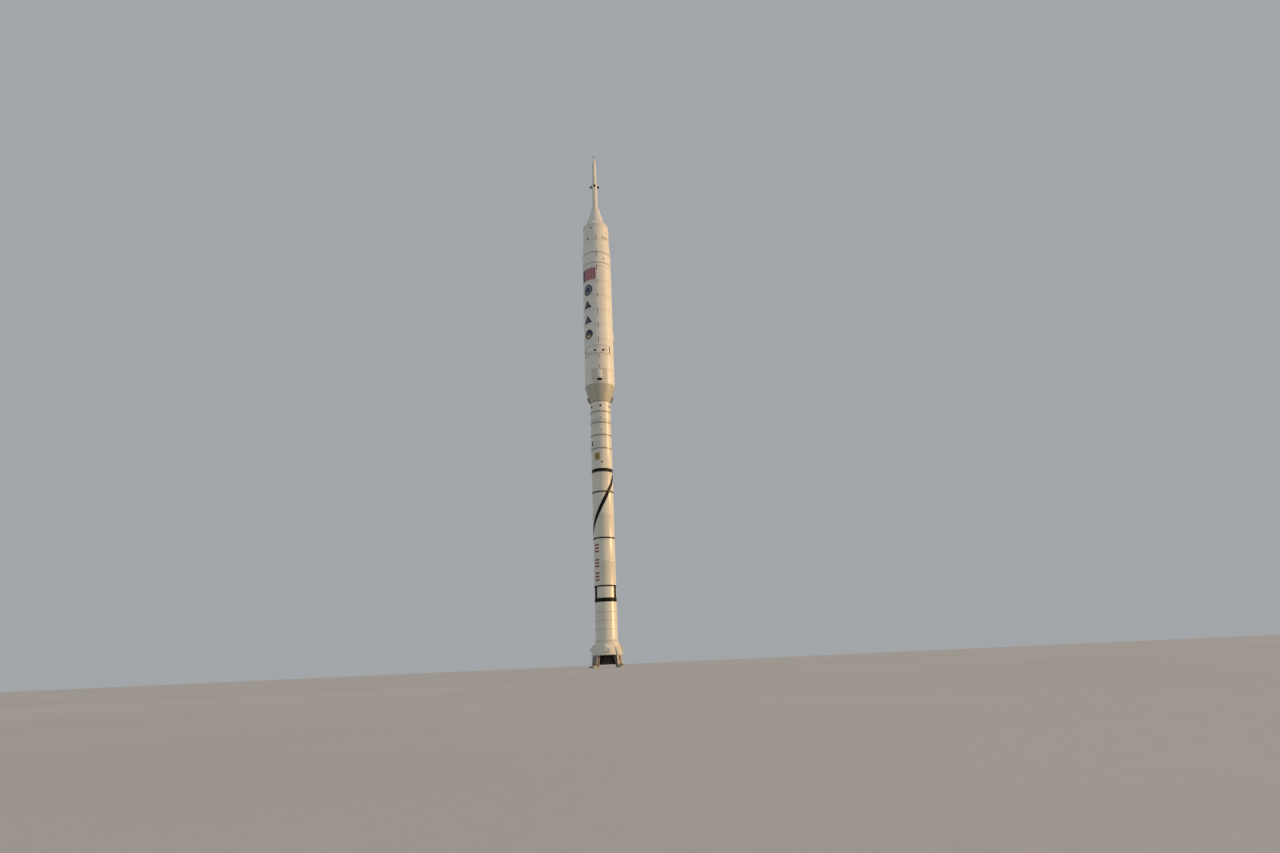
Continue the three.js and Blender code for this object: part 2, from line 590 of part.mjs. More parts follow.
// Abort tower: the motor's tube, the manifold with its four nozzles, the upper tube, nose and boom.
function addAbortTower() {
  const tubeBase = level(TOWER_CONE_TOP);
  const tubeHeight = level(MANIFOLD_BASE) - tubeBase;
  const tube = turned([
    [0, 0],
    [mm(TOWER_FLANGE.radius), 0],
    [mm(TOWER_FLANGE.radius), mm(TOWER_FLANGE.height)],
    [mm(TOWER_RADIUS), mm(TOWER_FLANGE.height)],
    [mm(TOWER_RADIUS), tubeHeight],
    [0, tubeHeight],
  ], SLIM_FACES);
  addPart("abort_motor", tube, WHITE, tubeBase);

  const manifoldHeight = level(MANIFOLD_TOP) - level(MANIFOLD_BASE);
  const drum = turned([
    [0, 0],
    [mm(TOWER_RADIUS), 0],
    [mm(MANIFOLD_RADIUS), mm(0.15)],
    [mm(MANIFOLD_RADIUS), manifoldHeight - mm(0.3)],
    [mm(UPPER_TOWER_RADIUS), manifoldHeight],
    [0, manifoldHeight],
  ], SLIM_FACES);
  const lean = radians(ABORT_NOZZLE_LEAN);
  const root = [mm(MANIFOLD_RADIUS + 0.02), mm(0.85)];
  const placed = (geometry, azimuth) => {
    geometry.rotateY(-lean);
    geometry.translate(root[0], 0, root[1]);
    geometry.rotateZ(turnOf(azimuth));
    return geometry;
  };
  const bossFoot = -mm(0.18);
  const bossHead = mm(0.12);
  const bossRadius = mm(ABORT_NOZZLE_RADII.boss);
  const bossOutline = [[0, bossFoot], [bossRadius, bossFoot], [bossRadius, bossHead], [0, bossHead]];
  const bosses = ABORT_NOZZLE_AZIMUTHS.map((azimuth) => placed(turned(bossOutline, SLIM_FACES), azimuth));
  addPart("abort_nozzle_manifold", joined(drum, ...bosses), WHITE, level(MANIFOLD_BASE));

  ABORT_NOZZLE_AZIMUTHS.forEach((azimuth, i) => {
    const top = bossFoot - SEAT_GAP;
    const bottom = top - mm(ABORT_NOZZLE_LENGTH);
    const bell = turned([
      [0, top - mm(0.06)],
      [mm(ABORT_NOZZLE_RADII.throat), top - mm(0.06)],
      [mm(ABORT_NOZZLE_RADII.exit - 0.03), bottom],
      [mm(ABORT_NOZZLE_RADII.exit), bottom],
      [mm(ABORT_NOZZLE_RADII.top), top],
      [0, top],
    ], SLIM_FACES);
    addPart(`abort_nozzle_${i + 1}`, placed(bell, azimuth), BLACK, level(MANIFOLD_BASE));
  });

  const jettisonHeight = level(JETTISON_TOP) - level(MANIFOLD_TOP);
  const upperTube = turned([
    [0, 0],
    [mm(UPPER_TOWER_RADIUS), 0],
    [mm(UPPER_TOWER_RADIUS), jettisonHeight],
    [0, jettisonHeight],
  ], SLIM_FACES);
  addPart("jettison_motor", upperTube, WHITE, level(MANIFOLD_TOP));

  const noseHeight = level(NOSE_TOP) - level(JETTISON_TOP);
  const noseSteps = 6;
  const ogive = Array.from({ length: noseSteps + 1 }, (_, i) => {
    const share = i / noseSteps;
    const radius = BOOM_ROOT_RADIUS + (UPPER_TOWER_RADIUS - BOOM_ROOT_RADIUS) * (1 - share ** 1.6);
    return [mm(radius), noseHeight * share];
  });
  addPart("nose_cone", turned([[0, 0], ...ogive, [0, noseHeight]], SLIM_FACES), WHITE, level(JETTISON_TOP));

  const boomHeight = level(BOOM_TOP) - level(NOSE_TOP);
  const boom = turned([
    [0, 0],
    [mm(BOOM_ROOT_RADIUS), 0],
    [mm(BOOM_RADIUS), mm(0.2)],
    [mm(BOOM_RADIUS) * 0.7, boomHeight - mm(0.1)],
    [mm(BOOM_RADIUS) * 0.2, boomHeight],
    [0, boomHeight],
  ], SLIM_FACES);
  addPart("air_data_boom", boom, STEEL, level(NOSE_TOP));
}

addSupportPosts();
addAftSkirt();
addDecelerationPods();
addThermalCurtain();
addBearingHousing();
addFlexBearing();
addNozzle();
addNozzleShield();
addAftSegment();
BOOSTER_SECTIONS.forEach((section) => bodySection({ ...section, lowerRadius: BOOSTER_RADIUS }));
addFieldJointRings();
addFrustum();
addUpperStage();
addRollControlPods();
addSideFairing();
addSystemsTunnels();
addSpacecraft();
addAbortTower();

export default rocket;
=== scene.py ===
# The looks of a tall two-stage test rocket, a 1:10 scale model on four support posts, round its frame.
# Lengths, radii and stations are real metres, and a station is a height above the aft skirt's base. Solids
# are made in real metres, and piece() turns them into the model's: +Z up, origin on the floor, on the axis.
# Azimuths are degrees round the axis: 0 faces the viewer (-Y), and +90 is the right side (+X).

import math

import bmesh
import bpy
from mathutils import Matrix, Vector


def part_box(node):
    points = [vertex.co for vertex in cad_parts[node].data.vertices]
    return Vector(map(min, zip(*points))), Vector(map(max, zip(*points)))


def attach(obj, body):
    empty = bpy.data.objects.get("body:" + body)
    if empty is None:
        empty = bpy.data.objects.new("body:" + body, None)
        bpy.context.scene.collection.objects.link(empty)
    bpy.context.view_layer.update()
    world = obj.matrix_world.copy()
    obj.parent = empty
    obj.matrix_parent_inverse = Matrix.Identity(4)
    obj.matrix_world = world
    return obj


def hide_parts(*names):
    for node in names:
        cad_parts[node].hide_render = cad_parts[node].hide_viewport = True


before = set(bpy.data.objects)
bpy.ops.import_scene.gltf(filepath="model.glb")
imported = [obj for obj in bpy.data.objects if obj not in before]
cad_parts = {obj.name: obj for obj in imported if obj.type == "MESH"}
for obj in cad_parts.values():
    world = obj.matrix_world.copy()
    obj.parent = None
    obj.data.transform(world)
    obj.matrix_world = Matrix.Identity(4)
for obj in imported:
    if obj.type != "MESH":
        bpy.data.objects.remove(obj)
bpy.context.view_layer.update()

MODEL_SCALE = 0.1
SKIRT_BASE_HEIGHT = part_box("aft_skirt")[0].z

# Faces round a large body, a slim one and a small fitting, and the width of a machined edge.
ROUND = 192
SLIM = 72
SMALL = 20
EDGE = 0.012
# A point nearer to the axis than this lies on it, and a corner flatter than this is left as it is.
ON_AXIS = 1e-6
FLAT_CORNER = math.radians(160)

# Radii of the main bodies.
BOOSTER_RADIUS = 1.855
UPPER_RADIUS = 2.75
SERVICE_RADIUS = 2.515
CREW_SHOULDER_RADIUS = 2.5
CREW_TOP_RADIUS = 1.72
TOWER_CONE_TOP_RADIUS = 0.78
TOWER_RADIUS = 0.5
UPPER_TOWER_RADIUS = 0.4

# Azimuths of the four support posts, and between them those of the four pods and four abort nozzles.
POST_AZIMUTHS = (45, 135, 225, 315)
SIDE_AZIMUTHS = (0, 90, 180, 270)

# Rings round the booster, as height and how far they stand proud, and where the factory bands start.
FLANGE = (0.26, 0.03)
FIELD_RING = (0.24, 0.03)
FACTORY_BAND = (0.2, 0.015)
FACTORY_BAND_STATIONS = {
    "aft_centre_segment": 15.22,
    "forward_centre_segment": 23.35,
    "forward_segment": 31.0,
}

# Markings are thin closed shells: how far they stand out of the skin, also where one lies over another,
# how deep they reach into it, and how many degrees and metres one face of a patch spans at most.
MARK_PROUD = 0.006
MARK_OVER_MARK = 0.01
MARK_SUNK = 0.012
MARK_TURN = 2.5
MARK_RISE = 0.3


def extent(node):
    """Stations of a CAD node's lowest and highest points."""
    return [(corner.z - SKIRT_BASE_HEIGHT) / MODEL_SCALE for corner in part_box(node)]


# Stations of the three field joints, and of the tops of the main sections.
JOINTS = [extent(node)[0] for node in FACTORY_BAND_STATIONS]
SKIRT_TOP = extent("aft_skirt")[1]
EXTENSION_TOP = extent("forward_skirt_extension")[1]
FRUSTUM_TOP = extent("frustum")[1]
UPPER_SEGMENTS_TOP = extent("upper_segment_7")[1]
ADAPTER_TOP = extent("spacecraft_adapter")[1]
SERVICE_TOP = extent("service_module")[1]
CREW_SHOULDER = SERVICE_TOP + 0.3
CREW_TOP = extent("crew_module")[1]
TOWER_CONE_TOP = extent("tower_adapter_cone")[1]

# The skin's radius at each station, from the skirt's top to the foot of the tower.
SKIN = (
    (extent("aft_segment")[0], BOOSTER_RADIUS),
    (EXTENSION_TOP, BOOSTER_RADIUS),
    (FRUSTUM_TOP - 0.1, UPPER_RADIUS),
    (UPPER_SEGMENTS_TOP, UPPER_RADIUS),
    (ADAPTER_TOP, SERVICE_RADIUS),
    (SERVICE_TOP, SERVICE_RADIUS),
    (CREW_SHOULDER, CREW_SHOULDER_RADIUS),
    (CREW_TOP, CREW_TOP_RADIUS),
    (TOWER_CONE_TOP, TOWER_CONE_TOP_RADIUS),
)


def skin_radius(station):
    """Radius of the skin at a station, straight between the places that SKIN names."""
    for (low, low_radius), (high, high_radius) in zip(SKIN, SKIN[1:]):
        if station <= high:
            share = (station - low) / (high - low)
            return low_radius + (high_radius - low_radius) * share
    return SKIN[-1][1]


def surface_radius(station):
    """Radius that a marking lies on: the skin's, or a factory band's where there is one."""
    height, proud = FACTORY_BAND
    on_band = any(low <= station <= low + height for low in FACTORY_BAND_STATIONS.values())
    return skin_radius(station) + (proud if on_band else 0)


# Shapes. A solid is a pair: its points, and its faces as indices into them.


def steps(count):
    return [i / count for i in range(count + 1)]


def radial(azimuth):
    """Unit vector from the axis towards an azimuth."""
    angle = math.radians(azimuth - 90)
    return Vector((math.cos(angle), math.sin(angle), 0))


def turned(degrees, axis):
    return Matrix.Rotation(math.radians(degrees), 4, axis)


def shifted(x, y=0.0, z=0.0):
    return Matrix.Translation((x, y, z))


UPRIGHT = turned(-90, "X")


def seat(azimuth, radius, station, lean=0.0):
    """Matrix of a place on the rocket: X round it, Y up it, Z outward. A positive lean tips Y outward."""
    outward = radial(azimuth)
    turn = Matrix((radial(azimuth + 90), Vector((0, 0, 1)), outward)).transposed().to_4x4()
    return Matrix.Translation(outward * radius + Vector((0, 0, station))) @ turn @ turned(lean, "X")


def placed(solid, matrix):
    points, faces = solid
    return [matrix @ Vector(point) for point in points], faces


def ring_of(solid, count, radius, station, lean=0.0, start=0.0, turn=Matrix.Identity(4)):
    """Copies of a small solid set on the skin, evenly round it."""
    places = [seat(start + 360 * i / count, radius, station, lean) for i in range(count)]
    return [placed(solid, place @ turn) for place in places]


def revolved(outline, count=ROUND, closed=False, warp=None):
    """Solid of revolution from (radius, height) points: a ring if closed, else its ends are on the axis."""
    points, rows = [], []
    for radius, height in outline:
        if radius < ON_AXIS:
            rows.append([len(points)] * count)
            points.append((0, 0, height))
            continue
        rows.append(list(range(len(points), len(points) + count)))
        for k in range(count):
            azimuth = 360 * k / count
            r, z = warp(radius, azimuth, height) if warp else (radius, height)
            points.append(radial(azimuth) * r + Vector((0, 0, z)))
    faces = []
    for lower, upper in zip(rows, rows[1:] + (rows[:1] if closed else [])):
        for k in range(count):
            after = (k + 1) % count
            corners = dict.fromkeys((lower[k], lower[after], upper[after], upper[k]))
            if len(corners) > 2:
                faces.append(tuple(corners))
    return points, faces


def eased(outline, cut=EDGE, closed=False):
    """The outline with each sharp corner off the axis cut back along both its sides."""
    count = len(outline)
    points = []
    for i, corner in enumerate(outline):
        here = Vector(corner)
        sides = [Vector(outline[k % count]) - here for k in (i - 1, i + 1)]
        on_end = not closed and i in (0, count - 1)
        if on_end or corner[0] < ON_AXIS or sides[0].angle(sides[1]) > FLAT_CORNER:
            points.append(corner)
        else:
            points += [tuple(here + side.normalized() * min(cut, side.length * 0.4)) for side in sides]
    return points


def lathed(outline, count=ROUND, cut=EDGE, closed=False):
    """Solid of revolution with its sharp corners eased."""
    return revolved(eased(outline, cut, closed), count, closed)


def plain_ring(inner, outer, bottom, top, cut=EDGE):
    return lathed([(inner, bottom), (outer, bottom), (outer, top), (inner, top)], cut=cut, closed=True)


def drum(bottom, top, radius, rings=(), top_radius=None, cut=EDGE, count=ROUND):
    """Closed drum or cone. Each ring that stands proud of it is its foot, height and how proud it is."""
    outline = [(0, bottom), (radius, bottom)]
    for low, height, proud in rings:
        if low > bottom:
            outline.append((radius, low))
        else:
            outline.pop()
        outline += [(radius + proud, low), (radius + proud, low + height), (radius, low + height)]
    return lathed([*outline, (top_radius or radius, top), (0, top)], count, cut)


def arc(centre, radius, start, end, count):
    """Points on a circle round (0, centre), by angle from straight up."""
    angles = [math.radians(start + (end - start) * share) for share in steps(count)]
    return [(radius * math.sin(angle), centre + radius * math.cos(angle)) for angle in angles]


def hull(points):
    """Convex solid round some points, with flat sides as single faces."""
    mesh = bmesh.new()
    for point in points:
        mesh.verts.new(point)
    bmesh.ops.convex_hull(mesh, input=mesh.verts)
    bmesh.ops.dissolve_limit(mesh, angle_limit=0.01, verts=mesh.verts, edges=mesh.edges)
    mesh.verts.index_update()
    solid = [v.co.copy() for v in mesh.verts], [tuple(v.index for v in f.verts) for f in mesh.faces]
    mesh.free()
    return solid


def block(width, height, depth, cut=EDGE):
    """Box with eased edges round its own centre: width along X, height along Y, depth along Z."""
    half = (width / 2, height / 2, depth / 2)
    points = []
    for signs in [(x, y, z) for x in (-1, 1) for y in (-1, 1) for z in (-1, 1)]:
        for keep in range(3):
            insets = [0 if axis == keep else cut for axis in range(3)]
            points.append([sign * (size - inset) for sign, size, inset in zip(signs, half, insets)])
    return hull(points)


def plate(outline, width, azimuth, offset=0.0, cut=EDGE):
    """Convex (radius, station) outline in a radial plane, extruded across it, with its side edges eased."""
    middle = [sum(values) / len(outline) for values in zip(*outline)]
    points = []
    for radius, station in outline:
        share = 1 - min(0.4, cut * 1.3 / math.dist((radius, station), middle))
        inner = [centre + (value - centre) * share for value, centre in zip((radius, station), middle)]
        for side in (-1, 1):
            points.append((side * (width / 2 - cut) + offset, station, radius))
            points.append((side * width / 2 + offset, inner[1], inner[0]))
    return placed(hull(points), seat(azimuth, 0, 0))


def slab(bottom, top, low_span, high_span=None):
    """Radial outline between two stations, from one radius to another at each of them."""
    high_span = high_span or low_span
    return [(low_span[0], bottom), (low_span[1], bottom), (high_span[1], top), (high_span[0], top)]


def dome_head(radius, height, sides=8, brim=0.3, crown=(0.7, 0.85)):
    """Low round screw head along Z, rooted a little below its seat."""
    root = -0.3 * height
    edge = [(radius, root), (radius, brim * height), (radius * crown[0], height * crown[1])]
    return revolved([(0, root), *edge, (0, height)], sides)


def hex_head(radius, height):
    """Chamfered hexagonal bolt head along Z."""
    return dome_head(radius, height, 6, 0.75, (0.82, 1.0))


def disc(radius, thickness, count=SMALL, dish=0.0):
    """Round cover along Z with an eased rim and, if asked, a dished middle."""
    face = thickness - dish
    outline = [(0, -thickness), (radius, -thickness), (radius, thickness), (radius * 0.8, face), (0, face)]
    return lathed(outline, count, min(thickness, radius) * 0.25)


def bell(throat, exit_radius, length):
    """Small open nozzle along Z, from its root at 0 out to its exit at its length."""
    wall, waist = 0.02, (throat + exit_radius) * 0.55
    bore = [(throat, 0.15 * length), (waist, 0.55 * length), (exit_radius - wall, length)]
    outer = [(exit_radius, length), (waist + wall, 0.5 * length), (throat + wall, 0)]
    return revolved([(0, 0.15 * length), *bore, *outer, (0, 0)], SMALL)


# Markings and low panels follow the skin. Their corners are given as azimuths and stations.


def shell(warp, across, along, proud=MARK_PROUD, sunk=MARK_SUNK, wrap=False, radius=surface_radius):
    """Thin closed shell on the skin. warp(u, v) gives azimuth and station for each u across and v along."""
    columns, rows = len(across) - (1 if wrap else 0), len(along)
    points = []
    for side in (1, -1):
        for v in along:
            for u in across[:columns]:
                azimuth, station = warp(u, v)
                lift = proud(u, v) if callable(proud) else proud
                reach = radius(station) + (lift if side > 0 else -sunk)
                points.append(radial(azimuth) * reach + Vector((0, 0, station)))
    under = rows * columns
    spans = [(i, (i + 1) % columns) for i in range(columns if wrap else columns - 1)]
    faces = []
    for j in range(rows - 1):
        for i, after in spans:
            quad = (j * columns + i, j * columns + after, (j + 1) * columns + after, (j + 1) * columns + i)
            faces += [quad, tuple(under + k for k in reversed(quad))]
    edges = [(j * columns + i, j * columns + after) for j in (0, rows - 1) for i, after in spans]
    if not wrap:
        starts = [j * columns + i for i in (0, columns - 1) for j in range(rows - 1)]
        edges += [(start, start + columns) for start in starts]
    faces += [(a, b, under + b, under + a) for a, b in edges]
    return points, faces


def height_rows(bottom, top, spacing=MARK_RISE):
    """Stations for a marking's rows, with rows at both edges of each factory band that it crosses."""
    rows = [bottom + (top - bottom) * share for share in steps(math.ceil((top - bottom) / spacing))]
    for low in FACTORY_BAND_STATIONS.values():
        high = low + FACTORY_BAND[0]
        rows += [edge for edge in (low - EDGE, low, high, high + EDGE) if bottom < edge < top]
    return sorted(rows)


def patch(azimuths, stations, **options):
    """Rectangle on the skin between two azimuths and two stations."""
    left, right = azimuths
    columns = steps(max(2, math.ceil(abs(right - left) / MARK_TURN)))
    return shell(lambda u, v: (left + (right - left) * u, v), columns, height_rows(*stations), **options)


def about(middle, half):
    """Both ends of a span round its middle."""
    return middle - half, middle + half


def raised_line(azimuth, stations, width):
    """Low rib up the skin, by its width in degrees."""
    return patch(about(azimuth, width / 2), stations, proud=0.013)


def band(bottom, top, **options):
    """Band all the way round the skin."""
    return shell(lambda u, v: (360 * u, v), steps(ROUND), height_rows(bottom, top), wrap=True, **options)


def local(azimuth, station, x, y):
    """Azimuth and station of a point x metres along the skin and y metres up from a place on it."""
    return azimuth + math.degrees(x / skin_radius(station)), station + y


def oval(azimuth, station, width, height, **options):
    """Filled oval on the skin."""

    def warp(u, v):
        p, q = 2 * u - 1, 2 * v - 1
        x = p * math.sqrt(1 - q * q / 2) * width / 2
        y = q * math.sqrt(1 - p * p / 2) * height / 2
        return local(azimuth, station, x, y)

    return shell(warp, steps(14), steps(14), **options)


def circle_line(azimuth, station, radius, line, **options):
    """Circular line on the skin."""

    def warp(u, v):
        angle = 2 * math.pi * u
        reach = radius - line * (1 - v)
        return local(azimuth, station, reach * math.cos(angle), reach * math.sin(angle))

    return shell(warp, steps(48), steps(1), wrap=True, **options)


def triangle(azimuth, station, width, height, tip=0.04, **options):
    """Upright triangle on the skin, round the middle of its height, with a narrow flat tip."""

    def warp(u, v):
        reach = width * (1 - v * (1 - tip))
        return local(azimuth, station, (u - 0.5) * reach, (v - 0.5) * height)

    return shell(warp, steps(14), steps(8), **options)


def frame_lines(azimuths, stations, line, **options):
    """Outline of a rectangle on the skin, as four strips."""
    turn = math.degrees(line / skin_radius(stations[0]))
    (left, right), (low, high) = azimuths, stations
    sides = [patch(azimuths, edge, **options) for edge in ((low, low + line), (high - line, high))]
    for edge in ((left, left + turn), (right - turn, right)):
        sides.append(patch(edge, (low + line, high - line), **options))
    return sides


def blister(azimuth, stations, width, height, slope, squareness=4, radius=skin_radius):
    """Closed fairing on the skin, with rounded flanks and sloped ends."""
    bottom, top = stations
    length = top - bottom
    turn = math.degrees(width / radius(bottom))
    ramp = [slope / length * share for share in steps(4)]
    along = ramp + [1 - share for share in reversed(ramp)]
    across = [0.5 - 0.5 * math.cos(math.pi * share) for share in steps(16)]

    def warp(u, v):
        return azimuth + turn * (u - 0.5), bottom + length * v

    def lift(u, v):
        rise = min(1.0, min(v, 1 - v) * length / slope)
        flank = max(0.0, 1 - abs(2 * u - 1) ** squareness) ** (1 / squareness)
        return height * rise * (2 - rise) * flank

    return shell(warp, across, along, proud=lift, sunk=0.02, radius=radius)


def door(azimuth, station, width, height, screws=4, proud=0.014, margin=0.05):
    """Raised access door with a row of screws along each edge. Returns the door, and its screws."""
    span = about(azimuth, math.degrees(width / 2 / skin_radius(station)))
    leaf = patch(span, about(station, height / 2), proud=proud)
    screw = dome_head(0.02, 0.014)
    fasteners = []
    for share in steps(screws - 1):
        slide = 2 * share - 1
        for x, y in ((slide, 1), (slide, -1), (1, slide), (-1, slide)):
            turn, level = local(azimuth, station, x * (width / 2 - margin), y * (height / 2 - margin))
            fasteners.append(placed(screw, seat(turn, skin_radius(level) + proud, level)))
    return leaf, fasteners


def linked(name, data):
    """New object in the scene."""
    made = bpy.data.objects.new(name, data)
    bpy.context.scene.collection.objects.link(made)
    return made


def piece(name, solids, finish, node=None, body="rocket", smooth=34):
    """One mesh from some solids, with its finish, on its body, in place of the node it stands for."""
    points, faces = [], []
    for solid_points, solid_faces in solids:
        start = len(points)
        points.extend((p[0], p[1], p[2]) for p in solid_points)
        faces.extend(tuple(start + k for k in face) for face in solid_faces)
    mesh = bpy.data.meshes.new(name)
    mesh.from_pydata(points, [], faces)
    mesh.transform(Matrix.Translation((0, 0, SKIRT_BASE_HEIGHT)) @ Matrix.Scale(MODEL_SCALE, 4))
    work = bmesh.new()
    work.from_mesh(mesh)
    bmesh.ops.recalc_face_normals(work, faces=work.faces)
    work.to_mesh(mesh)
    work.free()
    mesh.shade_smooth()
    mesh.set_sharp_from_angle(angle=math.radians(smooth))
    mesh.materials.append(finish.material)
    made = linked(name, mesh)
    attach(made, body)
    if node:
        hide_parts(node)
    return made


def section(node, kind, radius, finish, extras=(), **options):
    """A drum in place of a CAD node and as tall as it, with what is built onto it."""
    piece(f"{node}_{kind}", [drum(*extent(node), radius, **options), *extras], finish, node)


# Materials. Each is a Principled shader, with nodes on object coordinates for colour, roughness and relief.


class Finish:
    """A procedural material in the making, and the record's slot that it stands for."""

    def __init__(self, name, slot=None, constants=None):
        self.material = bpy.data.materials.new(name)
        self.material.use_nodes = True
        self.slot = slot
        self.tree = self.material.node_tree
        self.shader = self.tree.nodes["Principled BSDF"]
        for socket, value in (constants or {}).items():
            self.shader.inputs[socket].default_value = value
        self.coordinates = self.node("ShaderNodeTexCoord", {}, "Object")

    def node(self, kind, inputs, output=0, **settings):
        """Output of a new node with its settings, and each input fed by its name or number."""
        made = self.tree.nodes.new(kind)
        for key, value in settings.items():
            setattr(made, key, value)
        for key, value in inputs.items():
            self.feed(made.inputs[key], value)
        return made.outputs[output]

    def feed(self, socket, value):
        """Link an output to the socket, or set its value. A colour is three numbers."""
        if isinstance(value, bpy.types.NodeSocket):
            self.tree.links.new(value, socket)
        else:
            socket.default_value = (*value, 1.0) if socket.type == "RGBA" else value

    def noise(self, scale, detail=3.0, roughness=0.55, stretch=(1, 1, 1)):
        """Noise on object coordinates, which stretch multiplies on each axis."""
        vector = self.node("ShaderNodeMapping", {"Vector": self.coordinates, "Scale": stretch})
        inputs = {"Vector": vector, "Scale": scale, "Detail": detail, "Roughness": roughness}
        return self.node("ShaderNodeTexNoise", inputs)

    def math(self, operation, first, second=0.0, third=0.0):
        return self.node("ShaderNodeMath", {0: first, 1: second, 2: third}, operation=operation)

    def between(self, value, low, high, to_low=0.0, to_high=1.0):
        """The value's place between low and high, clamped, mapped to the second range."""
        return self.node("ShaderNodeMapRange", {0: value, 1: low, 2: high, 3: to_low, 4: to_high})

    def mix(self, share, first, second):
        return self.node("ShaderNodeMix", {0: share, 6: first, 7: second}, 2, data_type="RGBA")

    def bump(self, height, distance, strength=0.6, under=None):
        inputs = {"Height": height, "Distance": distance, "Strength": strength}
        if under is not None:
            inputs["Normal"] = under
        return self.node("ShaderNodeBump", inputs)

    def axis(self, name):
        """The coordinates' X, Y or Z."""
        return self.node("ShaderNodeSeparateXYZ", {0: self.coordinates}, name)

    def wave(self, value, count):
        """Sine of a value times a count, from 0 to 1."""
        return self.math("MULTIPLY_ADD", self.math("SINE", self.math("MULTIPLY", value, count)), 0.5, 0.5)

    def orange_peel(self):
        """Relief of sprayed paint: a fine pebbled surface over slow waves in the sheet below."""
        return self.bump(self.noise(420.0, 2.0), 0.0003, 0.25, self.bump(self.noise(7.0, 2.0), 0.0035, 0.35))

    def set(self, color, roughness, normal):
        for socket, value in (("Base Color", color), ("Roughness", roughness), ("Normal", normal)):
            self.feed(self.shader.inputs[socket], value)
        return self


# How far dirt runs down from a joint, at least and at most, in the model's metres.
DIRT_RUNS = (0.012, 0.11)


def joint_dirt(finish, columns, start, pitch):
    """Dirt under each joint of a row of like sections: a thin line, and runs of different lengths."""
    height = finish.math("DIVIDE", finish.math("SUBTRACT", finish.axis("Z"), start), pitch)
    drop = finish.math("MULTIPLY", finish.math("SUBTRACT", 1.0, finish.math("FRACT", height)), pitch)
    share = finish.math("DIVIDE", drop, finish.between(columns, 0.4, 0.75, *DIRT_RUNS))
    runs, line = finish.between(share, 0.0, 1.0, 0.4, 0.0), finish.between(drop, 0.0, 0.003, 0.75, 0.0)
    return finish.math("MAXIMUM", runs, line)


def painted(name, slot, color, stain, rough=(0.34, 0.56), streak=0.55, joints=None, flake=0.0):
    """Weathered paint: mottling, streaks that run down, dirt under joints, and chips where it flakes."""
    finish = Finish(name, slot)
    mottle = finish.noise(2.2, 5.0, 0.6)
    broad = finish.noise(1.0, 4.0, 0.6, (34, 34, 1.1))
    narrow = finish.noise(1.0, 4.0, stretch=(105, 105, 1.6))
    dirt = finish.math("MULTIPLY", finish.between(broad, 0.52, 0.78, 0.0, streak), narrow)
    if joints:
        dirt = finish.math("MAXIMUM", dirt, joint_dirt(finish, narrow, *joints))
    darker = [channel * 0.9 for channel in color]
    base = finish.mix(finish.between(mottle, 0.3, 0.7), color, darker)
    base = finish.mix(finish.math("MULTIPLY", dirt, 0.8), base, stain)
    if flake:
        chips = finish.between(finish.noise(26.0, 8.0, 0.7), 0.62, 0.66, 0.0, flake)
        base = finish.mix(chips, base, (0.16, 0.12, 0.09))
    roughness = finish.between(finish.math("ADD", mottle, dirt), 0.3, 1.1, *rough)
    return finish.set(base, roughness, finish.orange_peel())


def brushed_metal(name, low, high):
    """Bare metal with fine turned lines, smudges and a little heat tint."""
    finish = Finish(name, "steel", {"Metallic": 1.0})
    lines, smudge = finish.noise(1.0, 3.0, stretch=(30, 30, 900)), finish.noise(9.0, 5.0)
    base = finish.mix(finish.between(lines, 0.35, 0.65), [low] * 3, [high] * 3)
    tint = (low * 0.9, low * 0.75, low * 0.6)
    base = finish.mix(finish.between(smudge, 0.55, 0.75, 0.0, 0.5), base, tint)
    roughness = finish.between(smudge, 0.3, 0.75, 0.28, 0.55)
    return finish.set(base, roughness, finish.bump(lines, 0.0002, 0.35))


def charred_composite():
    """Dark composite, laid up in rings, with soot and pale ash streaks."""
    finish = Finish("charred_composite", "nozzle_shell")
    rings = finish.wave(finish.math("ADD", finish.axis("Z"), finish.noise(14.0, 3.0)), 260.0)
    ash = finish.noise(1.0, 5.0, 0.65, (60, 60, 6))
    base = finish.mix(rings, (0.028, 0.025, 0.023), (0.055, 0.048, 0.043))
    base = finish.mix(finish.between(ash, 0.56, 0.74, 0.0, 0.55), base, (0.19, 0.17, 0.15))
    relief = finish.bump(rings, 0.0006, 0.5, finish.bump(ash, 0.001, 0.4))
    return finish.set(base, finish.between(ash, 0.3, 0.7, 0.6, 0.9), relief)


def laminated_rubber():
    """Black rubber with the thin edges of its steel shims."""
    finish = Finish("laminated_rubber", "bearing_rubber")
    shims = finish.between(finish.wave(finish.axis("Z"), 1500.0), 0.75, 0.9)
    grain = finish.noise(300.0, 3.0)
    base = finish.mix(shims, (0.022, 0.022, 0.023), (0.11, 0.11, 0.11))
    return finish.set(base, finish.between(grain, 0.3, 0.7, 0.55, 0.85), finish.bump(grain, 0.0004, 0.5))


